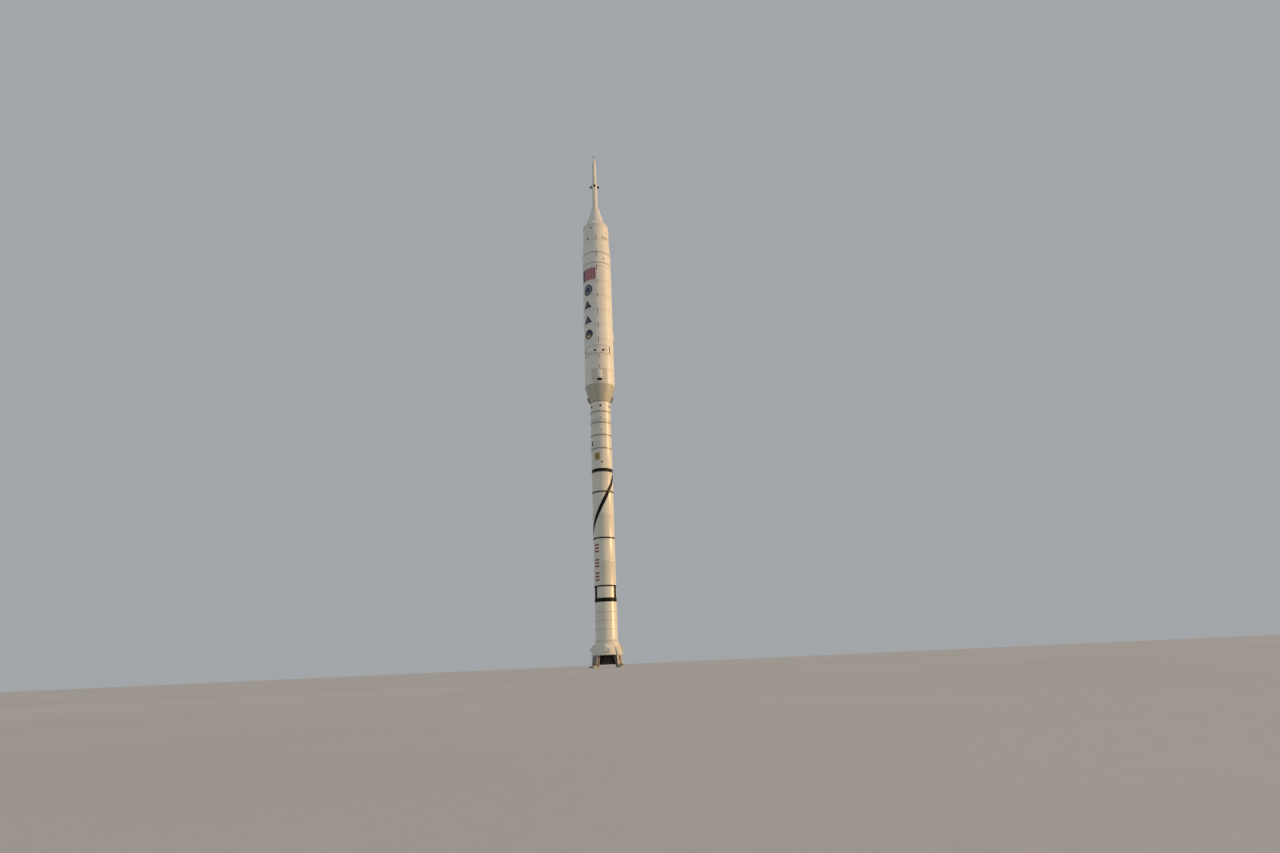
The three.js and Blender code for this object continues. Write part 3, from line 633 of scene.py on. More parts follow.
def woven_cloth():
    """Pale heat resistant cloth: threads round and across the ring, with scorched patches."""
    finish = Finish("woven_curtain", "curtain_cloth", {"Sheen Weight": 0.25, "Sheen Roughness": 0.6})
    x, y = finish.axis("X"), finish.axis("Y")
    square = finish.math("ADD", finish.math("MULTIPLY", x, x), finish.math("MULTIPLY", y, y))
    angle, reach = finish.math("ARCTAN2", y, x), finish.math("SQRT", square)
    weave = finish.math("MULTIPLY", finish.wave(angle, 420.0), finish.wave(reach, 2100.0))
    scorch = finish.between(finish.noise(11.0, 5.0, 0.6), 0.5, 0.75, 0.0, 0.6)
    base = finish.mix(weave, (0.42, 0.38, 0.31), (0.66, 0.61, 0.52))
    base = finish.mix(scorch, base, (0.22, 0.18, 0.14))
    return finish.set(base, finish.between(weave, 0.0, 1.0, 0.95, 0.8), finish.bump(weave, 0.0007, 0.8))


def marking(name, color, slot=None, fade=0.14, worn=0.25, specular=0.5):
    """Marking paint: a thin coat, faded in places and streaked."""
    finish = Finish(name, slot, {"Specular IOR Level": specular})
    patches = finish.noise(5.0, 5.0, 0.6)
    streaks = finish.between(finish.noise(1.0, 4.0, stretch=(60, 60, 2.5)), 0.58, 0.76, 0.0, worn)
    faded = [channel + (0.4 - channel) * fade for channel in color]
    base = finish.mix(finish.between(patches, 0.35, 0.75), color, faded)
    base = finish.mix(streaks, base, (0.3, 0.28, 0.25))
    return finish.set(base, finish.between(patches, 0.3, 0.7, 0.38, 0.6), finish.orange_peel())


WHITE = (0.79, 0.8, 0.755)
BOOSTER_WHITE = (0.755, 0.76, 0.685)
DIRT = (0.36, 0.33, 0.28)


def section_white(node, color=WHITE, rough=(0.34, 0.56)):
    """White paint with dirt under the joints of a row of sections as tall as this node, from its foot up."""
    low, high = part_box(node)
    return painted(f"white_{node}", "white_paint", color, DIRT, rough, joints=(low.z, high.z - low.z))


def booster_white(node):
    """The booster's own white, a little darker, yellower and glossier than the upper stage's."""
    return section_white(node, BOOSTER_WHITE, (0.26, 0.46))


white_plain = painted("white_plain", "white_paint", WHITE, DIRT, streak=0.4)
white_segments = booster_white("aft_centre_segment")
white_upper = section_white("upper_segment_1")
grey_frustum = painted("grey_frustum", "grey_paint", (0.48, 0.475, 0.395), (0.24, 0.21, 0.17), (0.45, 0.65))
grey_panel = painted("grey_panel", "grey_paint", (0.64, 0.63, 0.56), (0.3, 0.27, 0.24), (0.4, 0.6))
grey_posts = painted("grey_posts", "post_paint", (0.3, 0.3, 0.29), (0.13, 0.11, 0.09), streak=0.8, flake=0.8)
dark_box = painted("dark_box", "black_paint", (0.25, 0.235, 0.205), (0.2, 0.17, 0.13), (0.45, 0.65))
black_paint = marking("black_paint", (0.006, 0.006, 0.006), "black_paint", 0.015, 0.04, 0.12)
steel = brushed_metal("brushed_steel", 0.42, 0.58)
dark_steel = brushed_metal("dark_steel", 0.2, 0.28)
polished_steel = brushed_metal("polished_steel", 0.8, 0.92)
charred = charred_composite()
rubber = laminated_rubber()
curtain_cloth = woven_cloth()
red_mark = marking("red_marking", (0.25, 0.035, 0.03), fade=0.06)
rose_mark = marking("rose_marking", (0.36, 0.13, 0.15))
pink_mark = marking("pink_marking", (0.5, 0.26, 0.28))
blue_mark = marking("blue_marking", (0.022, 0.03, 0.085), fade=0.03, worn=0.12)
gold_mark = marking("gold_marking", (0.4, 0.28, 0.06))
brown_mark = marking("brown_marking", (0.16, 0.1, 0.07), fade=0.05)
pale_mark = marking("pale_marking", (0.72, 0.72, 0.7))
grey_mark = marking("grey_marking", (0.25, 0.255, 0.25))


# Support posts, in the frame's sizes: a web with two flanges, between a foot plate and a head plate. A post
# reaches from one radius to another at its foot, and at its head.
POST_FOOT = extent("support_post_1")[0]
POST_PLATE = 0.22
POST_WIDTH = 1.2
POST_WEB = 0.4
POST_FLANGE = 0.14
POST_SPANS = ((2.56, 3.06), (2.24, 2.84))
POST_FOOT_OUTER = 3.64
POST_RIBS = (0.36, 0.68)
POST_BOLTS = ((3.2, -0.45), (3.2, 0.45), (3.5, -0.45), (3.5, 0.0), (3.5, 0.45))


def post_plates(azimuth):
    """Foot plate, head plate, web, two flanges, cross ribs and two gussets of one post."""
    low, high = POST_FOOT + POST_PLATE, -POST_PLATE
    (inner, outer), head_span = POST_SPANS
    plates = [
        (slab(POST_FOOT, low, (inner, POST_FOOT_OUTER)), POST_WIDTH),
        (slab(high, 0, head_span), POST_WIDTH),
        (slab(low, high, *POST_SPANS), POST_WEB),
        (slab(low, high, *[(edge, edge + POST_FLANGE) for edge, _ in POST_SPANS]), POST_WIDTH),
        (slab(low, high, *[(edge - POST_FLANGE, edge) for _, edge in POST_SPANS]), POST_WIDTH),
    ]
    for share in POST_RIBS:
        left, right = [foot + (head - foot) * share for foot, head in zip(*POST_SPANS)]
        level = about(low + (high - low) * share, 0.05)
        plates.append((slab(*level, (left + 0.02, right - 0.02)), POST_WIDTH - 0.12))
    solids = [plate(outline, width, azimuth, cut=0.02) for outline, width in plates]
    gusset = [(outer - 0.06, low - 0.02), (POST_FOOT_OUTER - 0.1, low - 0.02), (outer - 0.1, low + 0.42)]
    return solids + [plate(gusset, 0.08, azimuth, side, cut=0.015) for side in (-0.24, 0.24)]


def make_posts():
    """Four welded posts, with the nuts and washers of their foot bolts."""
    nut, washer = hex_head(0.07, 0.08), disc(0.1, 0.02)
    fasteners = []
    for i, azimuth in enumerate(POST_AZIMUTHS, 1):
        piece(f"post_weldment_{i}", post_plates(azimuth), grey_posts, f"support_post_{i}")
        for radius, across in POST_BOLTS:
            spot = seat(azimuth, radius, POST_FOOT + POST_PLATE) @ shifted(across) @ UPRIGHT
            fasteners += [placed(washer, spot), placed(nut, spot @ shifted(0, 0, 0.02))]
    piece("post_fasteners", fasteners, steel)


# Aft skirt: radii of its wall at its lower and upper end ring, and the brackets over the posts.
SKIRT_RING = 0.14
SKIRT_OUTER = (2.605, 1.89)
SKIRT_INNER = (2.495, 1.78)
SKIRT_BASE_RADIUS = 2.645
SKIRT_TOP_RADIUS = 1.93
BRACKET_HEIGHT = 1.5
BRACKET_FOOT = 0.3
BRACKET_REACH = POST_SPANS[1][1]


def skirt_wall(radii, station):
    """Radius of the skirt's outer or inner wall at a station."""
    share = (station - SKIRT_RING) / (SKIRT_TOP - SKIRT_RING * 2)
    return radii[0] + (radii[1] - radii[0]) * share


def bracket_solids(azimuth):
    """The recessed web and the two cheeks beside it, over one post."""
    wall_foot = skirt_wall(SKIRT_OUTER, 0) - 0.06
    wall_head = skirt_wall(SKIRT_OUTER, BRACKET_HEIGHT)

    def outline(recess, drop, lip, sink):
        reach, top = BRACKET_REACH - recess, BRACKET_HEIGHT - sink
        shoulder = (reach, BRACKET_FOOT - drop)
        return [(wall_foot, 0), (reach, 0), shoulder, (wall_head + lip, top), (wall_head - 0.05, top)]

    web = plate(outline(0.07, 0.04, -0.01, 0.08), 0.4, azimuth)
    return [web] + [plate(outline(0, 0, 0.02, 0), 0.13, azimuth, side) for side in (-0.245, 0.245)]


def make_aft_skirt():
    """Hollow cone with end rings, a bracket over each post, and its rows of bolts."""
    top_ring = SKIRT_TOP - SKIRT_RING
    outline = [
        (SKIRT_INNER[0], 0), (SKIRT_BASE_RADIUS, 0), (SKIRT_BASE_RADIUS, SKIRT_RING),
        (SKIRT_OUTER[0], SKIRT_RING), (SKIRT_OUTER[1], top_ring), (SKIRT_TOP_RADIUS, top_ring),
        (SKIRT_TOP_RADIUS, SKIRT_TOP), (SKIRT_INNER[1], SKIRT_TOP), (SKIRT_INNER[1], top_ring),
        (SKIRT_INNER[0], SKIRT_RING),
    ]
    brackets = [solid for azimuth in POST_AZIMUTHS for solid in bracket_solids(azimuth)]
    wall = lathed(outline, closed=True)
    piece("aft_skirt_skin", [wall, *brackets], booster_white("aft_skirt"), "aft_skirt")
    bolt, stud = hex_head(0.034, 0.03), hex_head(0.1, 0.07)
    fasteners = ring_of(bolt, 72, SKIRT_BASE_RADIUS - 0.004, SKIRT_RING / 2, start=2.5)
    fasteners += ring_of(bolt, 72, SKIRT_TOP_RADIUS - 0.004, SKIRT_TOP - SKIRT_RING / 2)
    fasteners += ring_of(stud, 4, BRACKET_REACH - 0.07, 0.16, start=45)
    piece("aft_skirt_fasteners", fasteners, white_plain)


# Deceleration pods: width, foot, height of the front, top and reach, and the places of covers and screws
# across them.
POD_WIDTH = 1.1
POD_FOOT = 0.55
POD_FRONT = 0.55
POD_TOP = 1.75
POD_REACH = 2.8
POD_COVERS = (-0.36, -0.12, 0.12, 0.36)
POD_SCREWS = (-0.48, -0.24, 0, 0.24, 0.48)


def make_deceleration_pods():
    """Wedge pods on the skirt, each with four round motor covers in front and screws on its slope."""
    shoulder = POD_FOOT + POD_FRONT
    low_wall, top_wall = [skirt_wall(SKIRT_OUTER, station) for station in (POD_FOOT, POD_TOP)]
    outline = [(low_wall - 0.09, POD_FOOT), (POD_REACH, POD_FOOT), (POD_REACH, shoulder)]
    outline += [(top_wall + 0.1, POD_TOP), (top_wall - 0.09, POD_TOP)]
    slope = math.degrees(math.atan2(top_wall + 0.1 - POD_REACH, POD_TOP - shoulder))
    cover, screw = disc(0.1, 0.02, dish=0.012), dome_head(0.022, 0.016)
    covers, screws = [], []
    for i, azimuth in enumerate(SIDE_AZIMUTHS, 1):
        body = plate(outline, POD_WIDTH, azimuth, cut=0.03)
        piece(f"pod_shell_{i}", [body], white_plain, f"deceleration_pod_{i}")
        front = seat(azimuth, POD_REACH - 0.012, POD_FOOT + POD_FRONT / 2)
        covers += [placed(cover, front @ shifted(x)) for x in POD_COVERS]
        incline = seat(azimuth, POD_REACH, shoulder, slope)
        screws += [placed(screw, incline @ shifted(x, y, -0.003)) for x in POD_SCREWS for y in (0.07, 0.8)]
    piece("pod_motor_covers", covers, grey_mark)
    piece("pod_screws", screws, white_plain)


# Thermal curtain: the radius of its hole, its quilted gores, and how full it is.
CURTAIN_INNER = 1.7
CURTAIN_GORES = 48


def make_thermal_curtain():
    """Quilted cloth ring: gores that swell between stitched seams, thin at the seams and at both hems."""
    low, high = extent("thermal_curtain")
    middle, half = (low + high) / 2, (high - low) / 2
    outer = skirt_wall(SKIRT_INNER, high) - 0.003
    radii = [CURTAIN_INNER + (outer - CURTAIN_INNER) * share for share in steps(10)]
    outline = [(radius, low) for radius in radii] + [(radius, high) for radius in reversed(radii)]

    def swell(radius, azimuth, height):
        gore = abs(math.sin(math.radians(azimuth * CURTAIN_GORES / 2)))
        across = math.sin(math.pi * (radius - CURTAIN_INNER) / (outer - CURTAIN_INNER))
        fullness = 0.35 + 0.65 * math.sqrt(gore * max(0.12, across))
        return radius, middle + (height - middle) * min(1.0, fullness)

    cloth = revolved(outline, CURTAIN_GORES * 8, closed=True, warp=swell)
    quilt = piece("quilted_curtain", [cloth], curtain_cloth, "thermal_curtain", smooth=60)
    stitch = block(0.012, 0.045, 0.01, 0.003)
    stitches = []
    for radius in radii[1:-1]:
        for side in (-1, 1):
            level = middle + side * half * 0.36
            stitches += ring_of(stitch, CURTAIN_GORES, radius, level, turn=turned(-90 * side, "X"))
    piece("curtain_stitches", stitches, grey_mark)


# Nozzle: the height of its pivot, its bore, and its flange as radius and drops below the pivot.
PIVOT = 1.3
NOZZLE_EXIT = extent("nozzle")[0]
NOZZLE_EXIT_RADIUS = 1.9
NOZZLE_WALL = 0.08
THROAT_RADIUS = 0.6
THROAT_DROP = 0.25
THROAT = PIVOT - THROAT_DROP
NOZZLE_FLANGE_RADIUS = 1.06
NOZZLE_FLANGE_DROPS = (0.3, 0.58)
NECK_RADIUS = 0.74
BALL_RADIUS = 0.76
# Round the pivot lie the ball, the bearing between its two radii, and the housing's cup.
BEARING_RADII = (0.85, 0.768)
CUP_RADIUS = 0.858
HOUSING_RADIUS = 1.15
SHIELD_RADII = (1.063, 1.8)
# Shares of the way down the bore at which bands, the lip and the steps lie.
NOZZLE_BANDS = (0.4, 0.6, 0.8)
NOZZLE_LIP = 0.975
NOZZLE_STEPS = (0.25, 0.5, 0.75)


def make_bearing():
    """Fixed housing with its bolts, and the laminated flexible bearing in it."""
    cup = arc(PIVOT, CUP_RADIUS, 65, 20, 18)
    outline = [*cup, (cup[-1][0], SKIRT_TOP), (HOUSING_RADIUS, SKIRT_TOP), (HOUSING_RADIUS, cup[0][1])]
    housing = revolved(outline, SLIM, closed=True)
    bolts = ring_of(hex_head(0.035, 0.035), 24, HOUSING_RADIUS - 0.002, SKIRT_TOP - 0.12)
    piece("bearing_housing", [housing, *bolts], steel, "nozzle_bearing_housing")
    outer, inner = BEARING_RADII
    ring = [*arc(PIVOT, outer, 60, 25, 14), *arc(PIVOT, inner, 25, 60, 14)]
    laminate = revolved(ring, SLIM, closed=True)
    piece("flexible_bearing", [laminate], rubber, "nozzle_flex_bearing", "bearing")


def bore(share):
    """Radius and station of the nozzle's bore, by share of the way from its throat to its exit."""
    flare = 1.35 * share - 0.35 * share ** 2
    radius = THROAT_RADIUS + (NOZZLE_EXIT_RADIUS - NOZZLE_WALL - THROAT_RADIUS) * flare
    return radius, THROAT - (PIVOT - NOZZLE_EXIT - THROAT_DROP) * share


def make_nozzle():
    """Bell with its flange, neck and ball, its stiffening bands, exit lip and bore steps, and its plug."""
    inner = [bore(share) for share in steps(28)]
    outer = [(radius + NOZZLE_WALL, station) for radius, station in inner[4:]]
    rim = [(NOZZLE_FLANGE_RADIUS, PIVOT - drop) for drop in reversed(NOZZLE_FLANGE_DROPS)]
    rim.append((NECK_RADIUS, rim[-1][1]))
    ball = arc(PIVOT, BALL_RADIUS, 75, 0, 18)
    solids = [revolved([(0, THROAT), *inner, *reversed(outer), *rim, *ball[:-1], (0, ball[-1][1])])]
    for share in NOZZLE_BANDS:
        radius, station = bore(share)
        solids.append(plain_ring(radius + 0.03, radius + NOZZLE_WALL + 0.035, *about(station, 0.05)))
    radius, station = bore(NOZZLE_LIP)
    solids.append(plain_ring(radius + 0.03, NOZZLE_EXIT_RADIUS, *about(station, 0.05)))
    for share in NOZZLE_STEPS:
        radius, station = bore(share)
        solids.append(plain_ring(radius - 0.012, radius + 0.04, *about(station, 0.02)))
    piece("nozzle_bell", solids, charred, "nozzle", "nozzle")
    plug = [(0, THROAT - 0.05), (0.5, THROAT - 0.04), (0.56, THROAT + 0.01), (0, THROAT + 0.02)]
    piece("throat_plug", [revolved(plug, SLIM)], curtain_cloth, body="nozzle")
    flange_top = PIVOT - NOZZLE_FLANGE_DROPS[0]
    bolts = ring_of(hex_head(0.04, 0.04), 32, NOZZLE_FLANGE_RADIUS - 0.1, flange_top - 0.003, turn=UPRIGHT)
    piece("nozzle_flange_bolts", bolts, steel, body="nozzle")


def make_shield_ring():
    """Shield on the nozzle's flange: a thin plate with a lip along each edge and ribs across it."""
    low, high = extent("nozzle_shield_ring")
    inner, outer = SHIELD_RADII
    solids = [
        plain_ring(inner, outer, low + 0.012, high - 0.012, cut=0.004),
        plain_ring(outer - 0.05, outer, low, high, cut=0.006),
        plain_ring(inner, inner + 0.08, low, high, cut=0.006),
    ]
    rib = block(0.05, high - low, outer - inner - 0.1, 0.006)
    solids += ring_of(rib, 16, (inner + outer) / 2, (low + high) / 2)
    piece("nozzle_shield", solids, steel, "nozzle_shield_ring", "nozzle")


# Booster: its flanged short sections, the aft segment's stiffener rings, and counts of pins and bolts.
FLANGED_SECTIONS = ("fifth_segment_lower", "fifth_segment_upper", "forward_skirt", "forward_skirt_extension")
STIFFENER_STATIONS = (4.1, 5.5, 6.9)
STIFFENER = (0.1, 0.07)
PIN_COUNT = 90
FLANGE_BOLT_COUNT = 72


def make_booster():
    """Segments with factory bands, the short flanged sections above, and the aft segment with its rings."""
    pins, bolts, cap_bolts = [], [], []
    pin, bolt, cap_bolt = dome_head(0.024, 0.014), hex_head(0.03, 0.022), hex_head(0.018, 0.012)
    for node, station in FACTORY_BAND_STATIONS.items():
        section(node, "case", BOOSTER_RADIUS, white_segments, rings=[(station, *FACTORY_BAND)])
        face = BOOSTER_RADIUS + FACTORY_BAND[1] - 0.002
        pins += ring_of(pin, PIN_COUNT, face, station + FACTORY_BAND[0] / 2)
    for node in FLANGED_SECTIONS:
        base = extent(node)[0]
        section(node, "case", BOOSTER_RADIUS, booster_white(node), rings=[(base, *FLANGE)])
        for height in (0.07, 0.19):
            bolts += ring_of(bolt, FLANGE_BOLT_COUNT, BOOSTER_RADIUS + FLANGE[1] - 0.003, base + height)
    node = "aft_segment"
    height, proud = STIFFENER
    root, cap = BOOSTER_RADIUS - 0.02, BOOSTER_RADIUS + proud
    stiffeners = []
    for station in STIFFENER_STATIONS:
        middle = station + height / 2
        stiffeners.append(plain_ring(root, root + 0.04, station, station + height, cut=0.005))
        stiffeners.append(plain_ring(root, cap - 0.01, *about(middle, 0.018), cut=0.004))
        stiffeners.append(plain_ring(cap - 0.022, cap, station, station + height, cut=0.005))
        cap_bolts += ring_of(cap_bolt, 60, cap - 0.001, middle)
    rings = [(extent(node)[0] + 0.08, 0.16, 0.012)]
    section(node, "case", BOOSTER_RADIUS, booster_white(node), stiffeners, rings=rings)
    piece("factory_joint_pins", pins, white_plain)
    piece("stiffener_bolts", cap_bolts, white_plain)
    piece("flange_bolts", bolts, steel)


def make_field_joints():
    """Black joint rings with a lip along each edge, two rows of pins, and three clamps."""
    height, proud = FIELD_RING
    root, face = BOOSTER_RADIUS - 0.01, BOOSTER_RADIUS + proud
    clamp, pin = block(0.16, height - 0.02, 0.03, 0.006), dome_head(0.022, 0.012)
    pins = []
    for i, joint in enumerate(JOINTS, 1):
        low, high = about(joint, height / 2)
        solids = [plain_ring(root, face - 0.008, low, high, cut=0.006)]
        solids += [plain_ring(root, face, edge, edge + 0.035, cut=0.005) for edge in (low, high - 0.035)]
        solids += ring_of(clamp, 3, face - 0.006, joint, start=30)
        piece(f"field_joint_{i}", solids, black_paint, f"field_joint_ring_{i}")
        pins += ring_of(pin, PIN_COUNT, face - 0.01, joint - 0.045)
        pins += ring_of(pin, PIN_COUNT, face - 0.01, joint + 0.045, start=2)
    piece("field_joint_pins", pins, dark_steel)


# Frustum: its top lip, and the motor boxes' outline as radius past the booster's and height from its foot.
FRUSTUM_LIP = 0.1
MOTOR_BOX_WIDTH = 0.5
MOTOR_BOX = ((-0.1, 0), (0.04, 0), (0.3, 0.2), (0.56, 0.95), (0.25, 1.12), (-0.1, 1.12))


def make_frustum():
    """Grey cone with a lip at its top, low ribs down it, screws, and a motor box up each side."""
    bottom, top = extent("frustum")
    lip = top - FRUSTUM_LIP
    outline = [(0, bottom), (BOOSTER_RADIUS, bottom), (UPPER_RADIUS, lip), (UPPER_RADIUS, top), (0, top)]
    ribs = [raised_line(turn, (bottom + 0.25, top - 0.2), 1.0) for turn in range(15, 360, 30)]
    piece("frustum_cone", [lathed(outline), *ribs], grey_frustum, "frustum")
    lean = math.degrees(math.atan2(UPPER_RADIUS - BOOSTER_RADIUS, lip - bottom))
    screws = []
    for station in (bottom + 0.12, top - 0.2):
        screws += ring_of(dome_head(0.024, 0.014), 60, skin_radius(station) - 0.003, station, lean, start=3)
    piece("frustum_screws", screws, grey_frustum)
    outline = [(BOOSTER_RADIUS + reach, bottom + height) for reach, height in MOTOR_BOX]
    nozzle = bell(0.03, 0.085, 0.05)
    boxes, nozzles = [], []
    for azimuth in (-90, 90):
        boxes.append(plate(outline, MOTOR_BOX_WIDTH, azimuth, cut=0.025))
        front = seat(azimuth, *outline[2], 18)
        nozzles += [placed(nozzle, front @ shifted(x)) for x in (-0.12, 0.12)]
    piece("frustum_motor_boxes", boxes, dark_box)
    piece("frustum_motor_nozzles", nozzles, steel)


# Upper stage: its wider machined edge, the rivets in a row, and how far from their joint a row of rivets
# and the covered lifting points lie.
SOFT_EDGE = 0.018
RIVET_COUNT = 96
RIVET_MARGIN = 0.09
LIFTING_DROP = 0.4


def make_upper_stage():
    """Drums with eased joints, a row of rivets on each side of every joint, and covered lifting points."""
    rivet, cover = dome_head(0.018, 0.01), disc(0.07, 0.008)
    rivets = []
    stacks = (("interstage", 2, section_white("interstage_1")), ("upper_segment", 7, white_upper))
    for stack, count, finish in stacks:
        for i in range(1, count + 1):
            node = f"{stack}_{i}"
            base, top = extent(node)
            section(node, "skin", UPPER_RADIUS, finish, cut=SOFT_EDGE)
            for station in (base + RIVET_MARGIN, top - RIVET_MARGIN):
                rivets += ring_of(rivet, RIVET_COUNT, UPPER_RADIUS - 0.001, station, start=1.2)
            rivets += ring_of(cover, 4, UPPER_RADIUS, top - LIFTING_DROP, start=60)
    piece("upper_stage_rivets", rivets, white_plain)


# Roll control pods: the panel's span each way, then the stations of panel, fairing and nozzle block. Its
# two nozzles lie a few degrees off its middle, and point to the sides, by their angle from straight out.
ROLL_PANEL_SPAN = 31
ROLL_PANEL = (48.4, 50.35)
ROLL_FAIRING = (48.3, 50.2)
# The nozzle block's black paint is partly its own dark colour and partly painted shadow of its two nozzles.
ROLL_BLOCK = (48.0, 48.34)
ROLL_BLOCK_WIDTH = 0.64
ROLL_NOZZLE_TURN = 6.5
ROLL_NOZZLE_LEAN = 70
ROLL_SCREW_GAPS = 14


def make_roll_control_pods():
    """Curved panel with a raised border and screws, its fairing, and under that a dark block of nozzles
    whose black is partly painted shadow of the nozzles.
    """
    low, high = ROLL_PANEL
    screw, nozzle = dome_head(0.018, 0.01), bell(0.05, 0.12, 0.16)
    root = UPPER_RADIUS - 0.03
    outline = slab(*ROLL_BLOCK, (root, UPPER_RADIUS + 0.14), (root, UPPER_RADIUS + 0.22))
    nozzles, screws = [], []
    for side, azimuth in (("front", 0), ("back", 180)):
        span = about(azimuth, ROLL_PANEL_SPAN)
        panel = [patch(span, ROLL_PANEL, proud=0.032), *frame_lines(span, ROLL_PANEL, 0.09, proud=0.04)]
        piece(f"roll_control_{side}", panel, grey_panel, f"roll_control_pod_{side}")
        fairing = blister(azimuth, ROLL_FAIRING, width=0.9, height=0.21, slope=0.4, squareness=3)
        piece(f"roll_control_fairing_{side}", [fairing], white_plain)
        nozzles.append(plate(outline, ROLL_BLOCK_WIDTH, azimuth))
        for way in (-1, 1):
            mouth = seat(azimuth + way * ROLL_NOZZLE_TURN, UPPER_RADIUS + 0.09, ROLL_BLOCK[0] + 0.16)
            nozzles.append(placed(nozzle, mouth @ turned(way * ROLL_NOZZLE_LEAN, "Y")))
        for share in steps(ROLL_SCREW_GAPS):
            turn = span[0] + 1 + (span[1] - span[0] - 2) * share
            for station in (low + 0.045, high - 0.045):
                screws.append(placed(screw, seat(turn, UPPER_RADIUS + 0.039, station)))
    # Block and bells in black: their own dark colour, and also painted shadow of the nozzles below the
    # fairing.
    piece("roll_control_nozzles_and_painted_shadow", nozzles, black_paint)
    piece("roll_control_screws", screws, steel)


# Systems tunnels: their width, height and azimuth, and about how long one cover is.
TUNNEL_WIDTH = 0.5
TUNNEL_PROUD = 0.16
TUNNEL_AZIMUTH = 180
TUNNEL_COVER = 1.3


def make_tunnel(stage, radius, finish):
    """Systems tunnel up the back of a stage: a row of boxy covers with screws, over a low base strip."""
    node = f"{stage}_systems_tunnel"
    bottom, top = extent(node)
    count = round((top - bottom) / TUNNEL_COVER)
    pitch = (top - bottom) / count
    strip = about(TUNNEL_AZIMUTH, math.degrees((TUNNEL_WIDTH / 2 - 0.06) / radius))

    def body_radius(_):
        return radius

    covers = [patch(strip, (bottom + 0.05, top - 0.05), proud=0.1, radius=body_radius)]
    screws = []
    for i in range(count):
        low, high = bottom + pitch * i + 0.012, bottom + pitch * (i + 1) - 0.012
        covers.append(blister(TUNNEL_AZIMUTH, (low, high), TUNNEL_WIDTH, TUNNEL_PROUD, 0.04, 7, body_radius))
        for share in (0.08, 0.5, 0.92):
            for azimuth in strip:
                place = seat(azimuth, radius + TUNNEL_PROUD * 0.85, low + (high - low) * share)
                screws.append(placed(dome_head(0.018, 0.012), place))
    piece(f"{stage}_tunnel_covers", covers, finish, node)
    piece(f"{stage}_tunnel_screws", screws, steel)


def make_tunnels():
    make_tunnel("booster", BOOSTER_RADIUS, white_segments)
    make_tunnel("upper", UPPER_RADIUS, white_upper)


def make_side_fairing():
    """Small streamlined fairing low on the right of the upper stage, on a flat foot flange."""
    low, high = extent("side_fairing")
    flange = patch(about(90, math.degrees(0.3 / UPPER_RADIUS)), (low, high), proud=0.012)
    bulge = blister(90, (low + 0.03, high - 0.03), width=0.54, height=0.19, slope=0.3, squareness=3)
    piece("side_fairing_shell", [bulge, flange], white_upper, "side_fairing")


# Azimuths of the raised panel joints on the crew module and the cone above it, and of the service module's
# doors. A door is given as its middle's height above the module's foot, its width and its height.
PANEL_JOINTS = range(30, 390, 60)
SERVICE_DOORS = (70, 160, 250, 340)
SERVICE_DOOR = (1.7, 1.0, 1.4)


def make_spacecraft():
    """Adapter, service module, crew module and the cone under the tower, with joints, doors and screws."""
    node = "spacecraft_adapter"
    section(node, "skin", UPPER_RADIUS, section_white(node), top_radius=SERVICE_RADIUS, cut=SOFT_EDGE)
    rise, *size = SERVICE_DOOR
    doors = [door(azimuth, ADAPTER_TOP + rise, *size, screws=5) for azimuth in SERVICE_DOORS]
    leaves, screws = [leaf for leaf, _ in doors], [screw for _, fasteners in doors for screw in fasteners]
    node = "service_module"
    section(node, "skin", SERVICE_RADIUS, section_white(node), leaves, cut=SOFT_EDGE)
    outline = [(0, SERVICE_TOP), (SERVICE_RADIUS, SERVICE_TOP), (CREW_SHOULDER_RADIUS, CREW_SHOULDER)]
    crew = [lathed([*outline, (CREW_TOP_RADIUS, CREW_TOP), (0, CREW_TOP)], cut=0.03)]
    cone = [drum(CREW_TOP, TOWER_CONE_TOP, CREW_TOP_RADIUS, top_radius=TOWER_CONE_TOP_RADIUS, cut=0.025)]
    for turn in PANEL_JOINTS:
        crew.append(raised_line(turn, (SERVICE_TOP + 0.35, CREW_TOP - 0.02), 0.8))
        cone.append(raised_line(turn, (CREW_TOP + 0.05, TOWER_CONE_TOP - 0.1), 1.2))
    piece("crew_module_skin", crew, section_white("crew_module"), "crew_module")
    piece("tower_cone_skin", cone, section_white("tower_adapter_cone"), "tower_adapter_cone")
    screw = dome_head(0.016, 0.01)
    for joint in (UPPER_SEGMENTS_TOP + 0.2, ADAPTER_TOP, SERVICE_TOP - 0.2):
        for station in about(joint, 0.1):
            screws += ring_of(screw, 96, skin_radius(station) - 0.001, station, start=1.5)
    station = CREW_TOP + 0.12
    screws += ring_of(screw, 60, skin_radius(station) - 0.001, station, start=3)
    piece("spacecraft_screws", screws, white_plain)


# Abort tower: root of its nozzles' bosses as radius and height, their lean from the tower's axis, and the
# sizes of boss and bell.
ABORT_ROOT = (0.54, 0.85)
ABORT_LEAN = 25
BOSS_RADIUS = 0.12
BOSS_SPAN = (-0.18, 0.12)
BELL_LENGTH = 0.45
BELL_DEPTH = 0.39
BELL_BORE = (0.05, 0.18)
BELL_OUTER = (0.1, 0.21)


def abort_bell():
    """Open nozzle along -Z from the boss's end, with a flared bore."""
    top = BOSS_SPAN[0] - 0.003
    end = top - BELL_LENGTH

    def flared(radii, start, share):
        widening = 1 - (1 - share) ** 1.5
        return radii[0] + (radii[1] - radii[0]) * widening, start + (end - start) * share

    inner = [flared(BELL_BORE, end + BELL_DEPTH, share) for share in steps(8)]
    outer = [flared(BELL_OUTER, top, share) for share in steps(8)]
    return revolved([(0, inner[0][1]), *inner, *reversed(outer), (0, top)], 32)


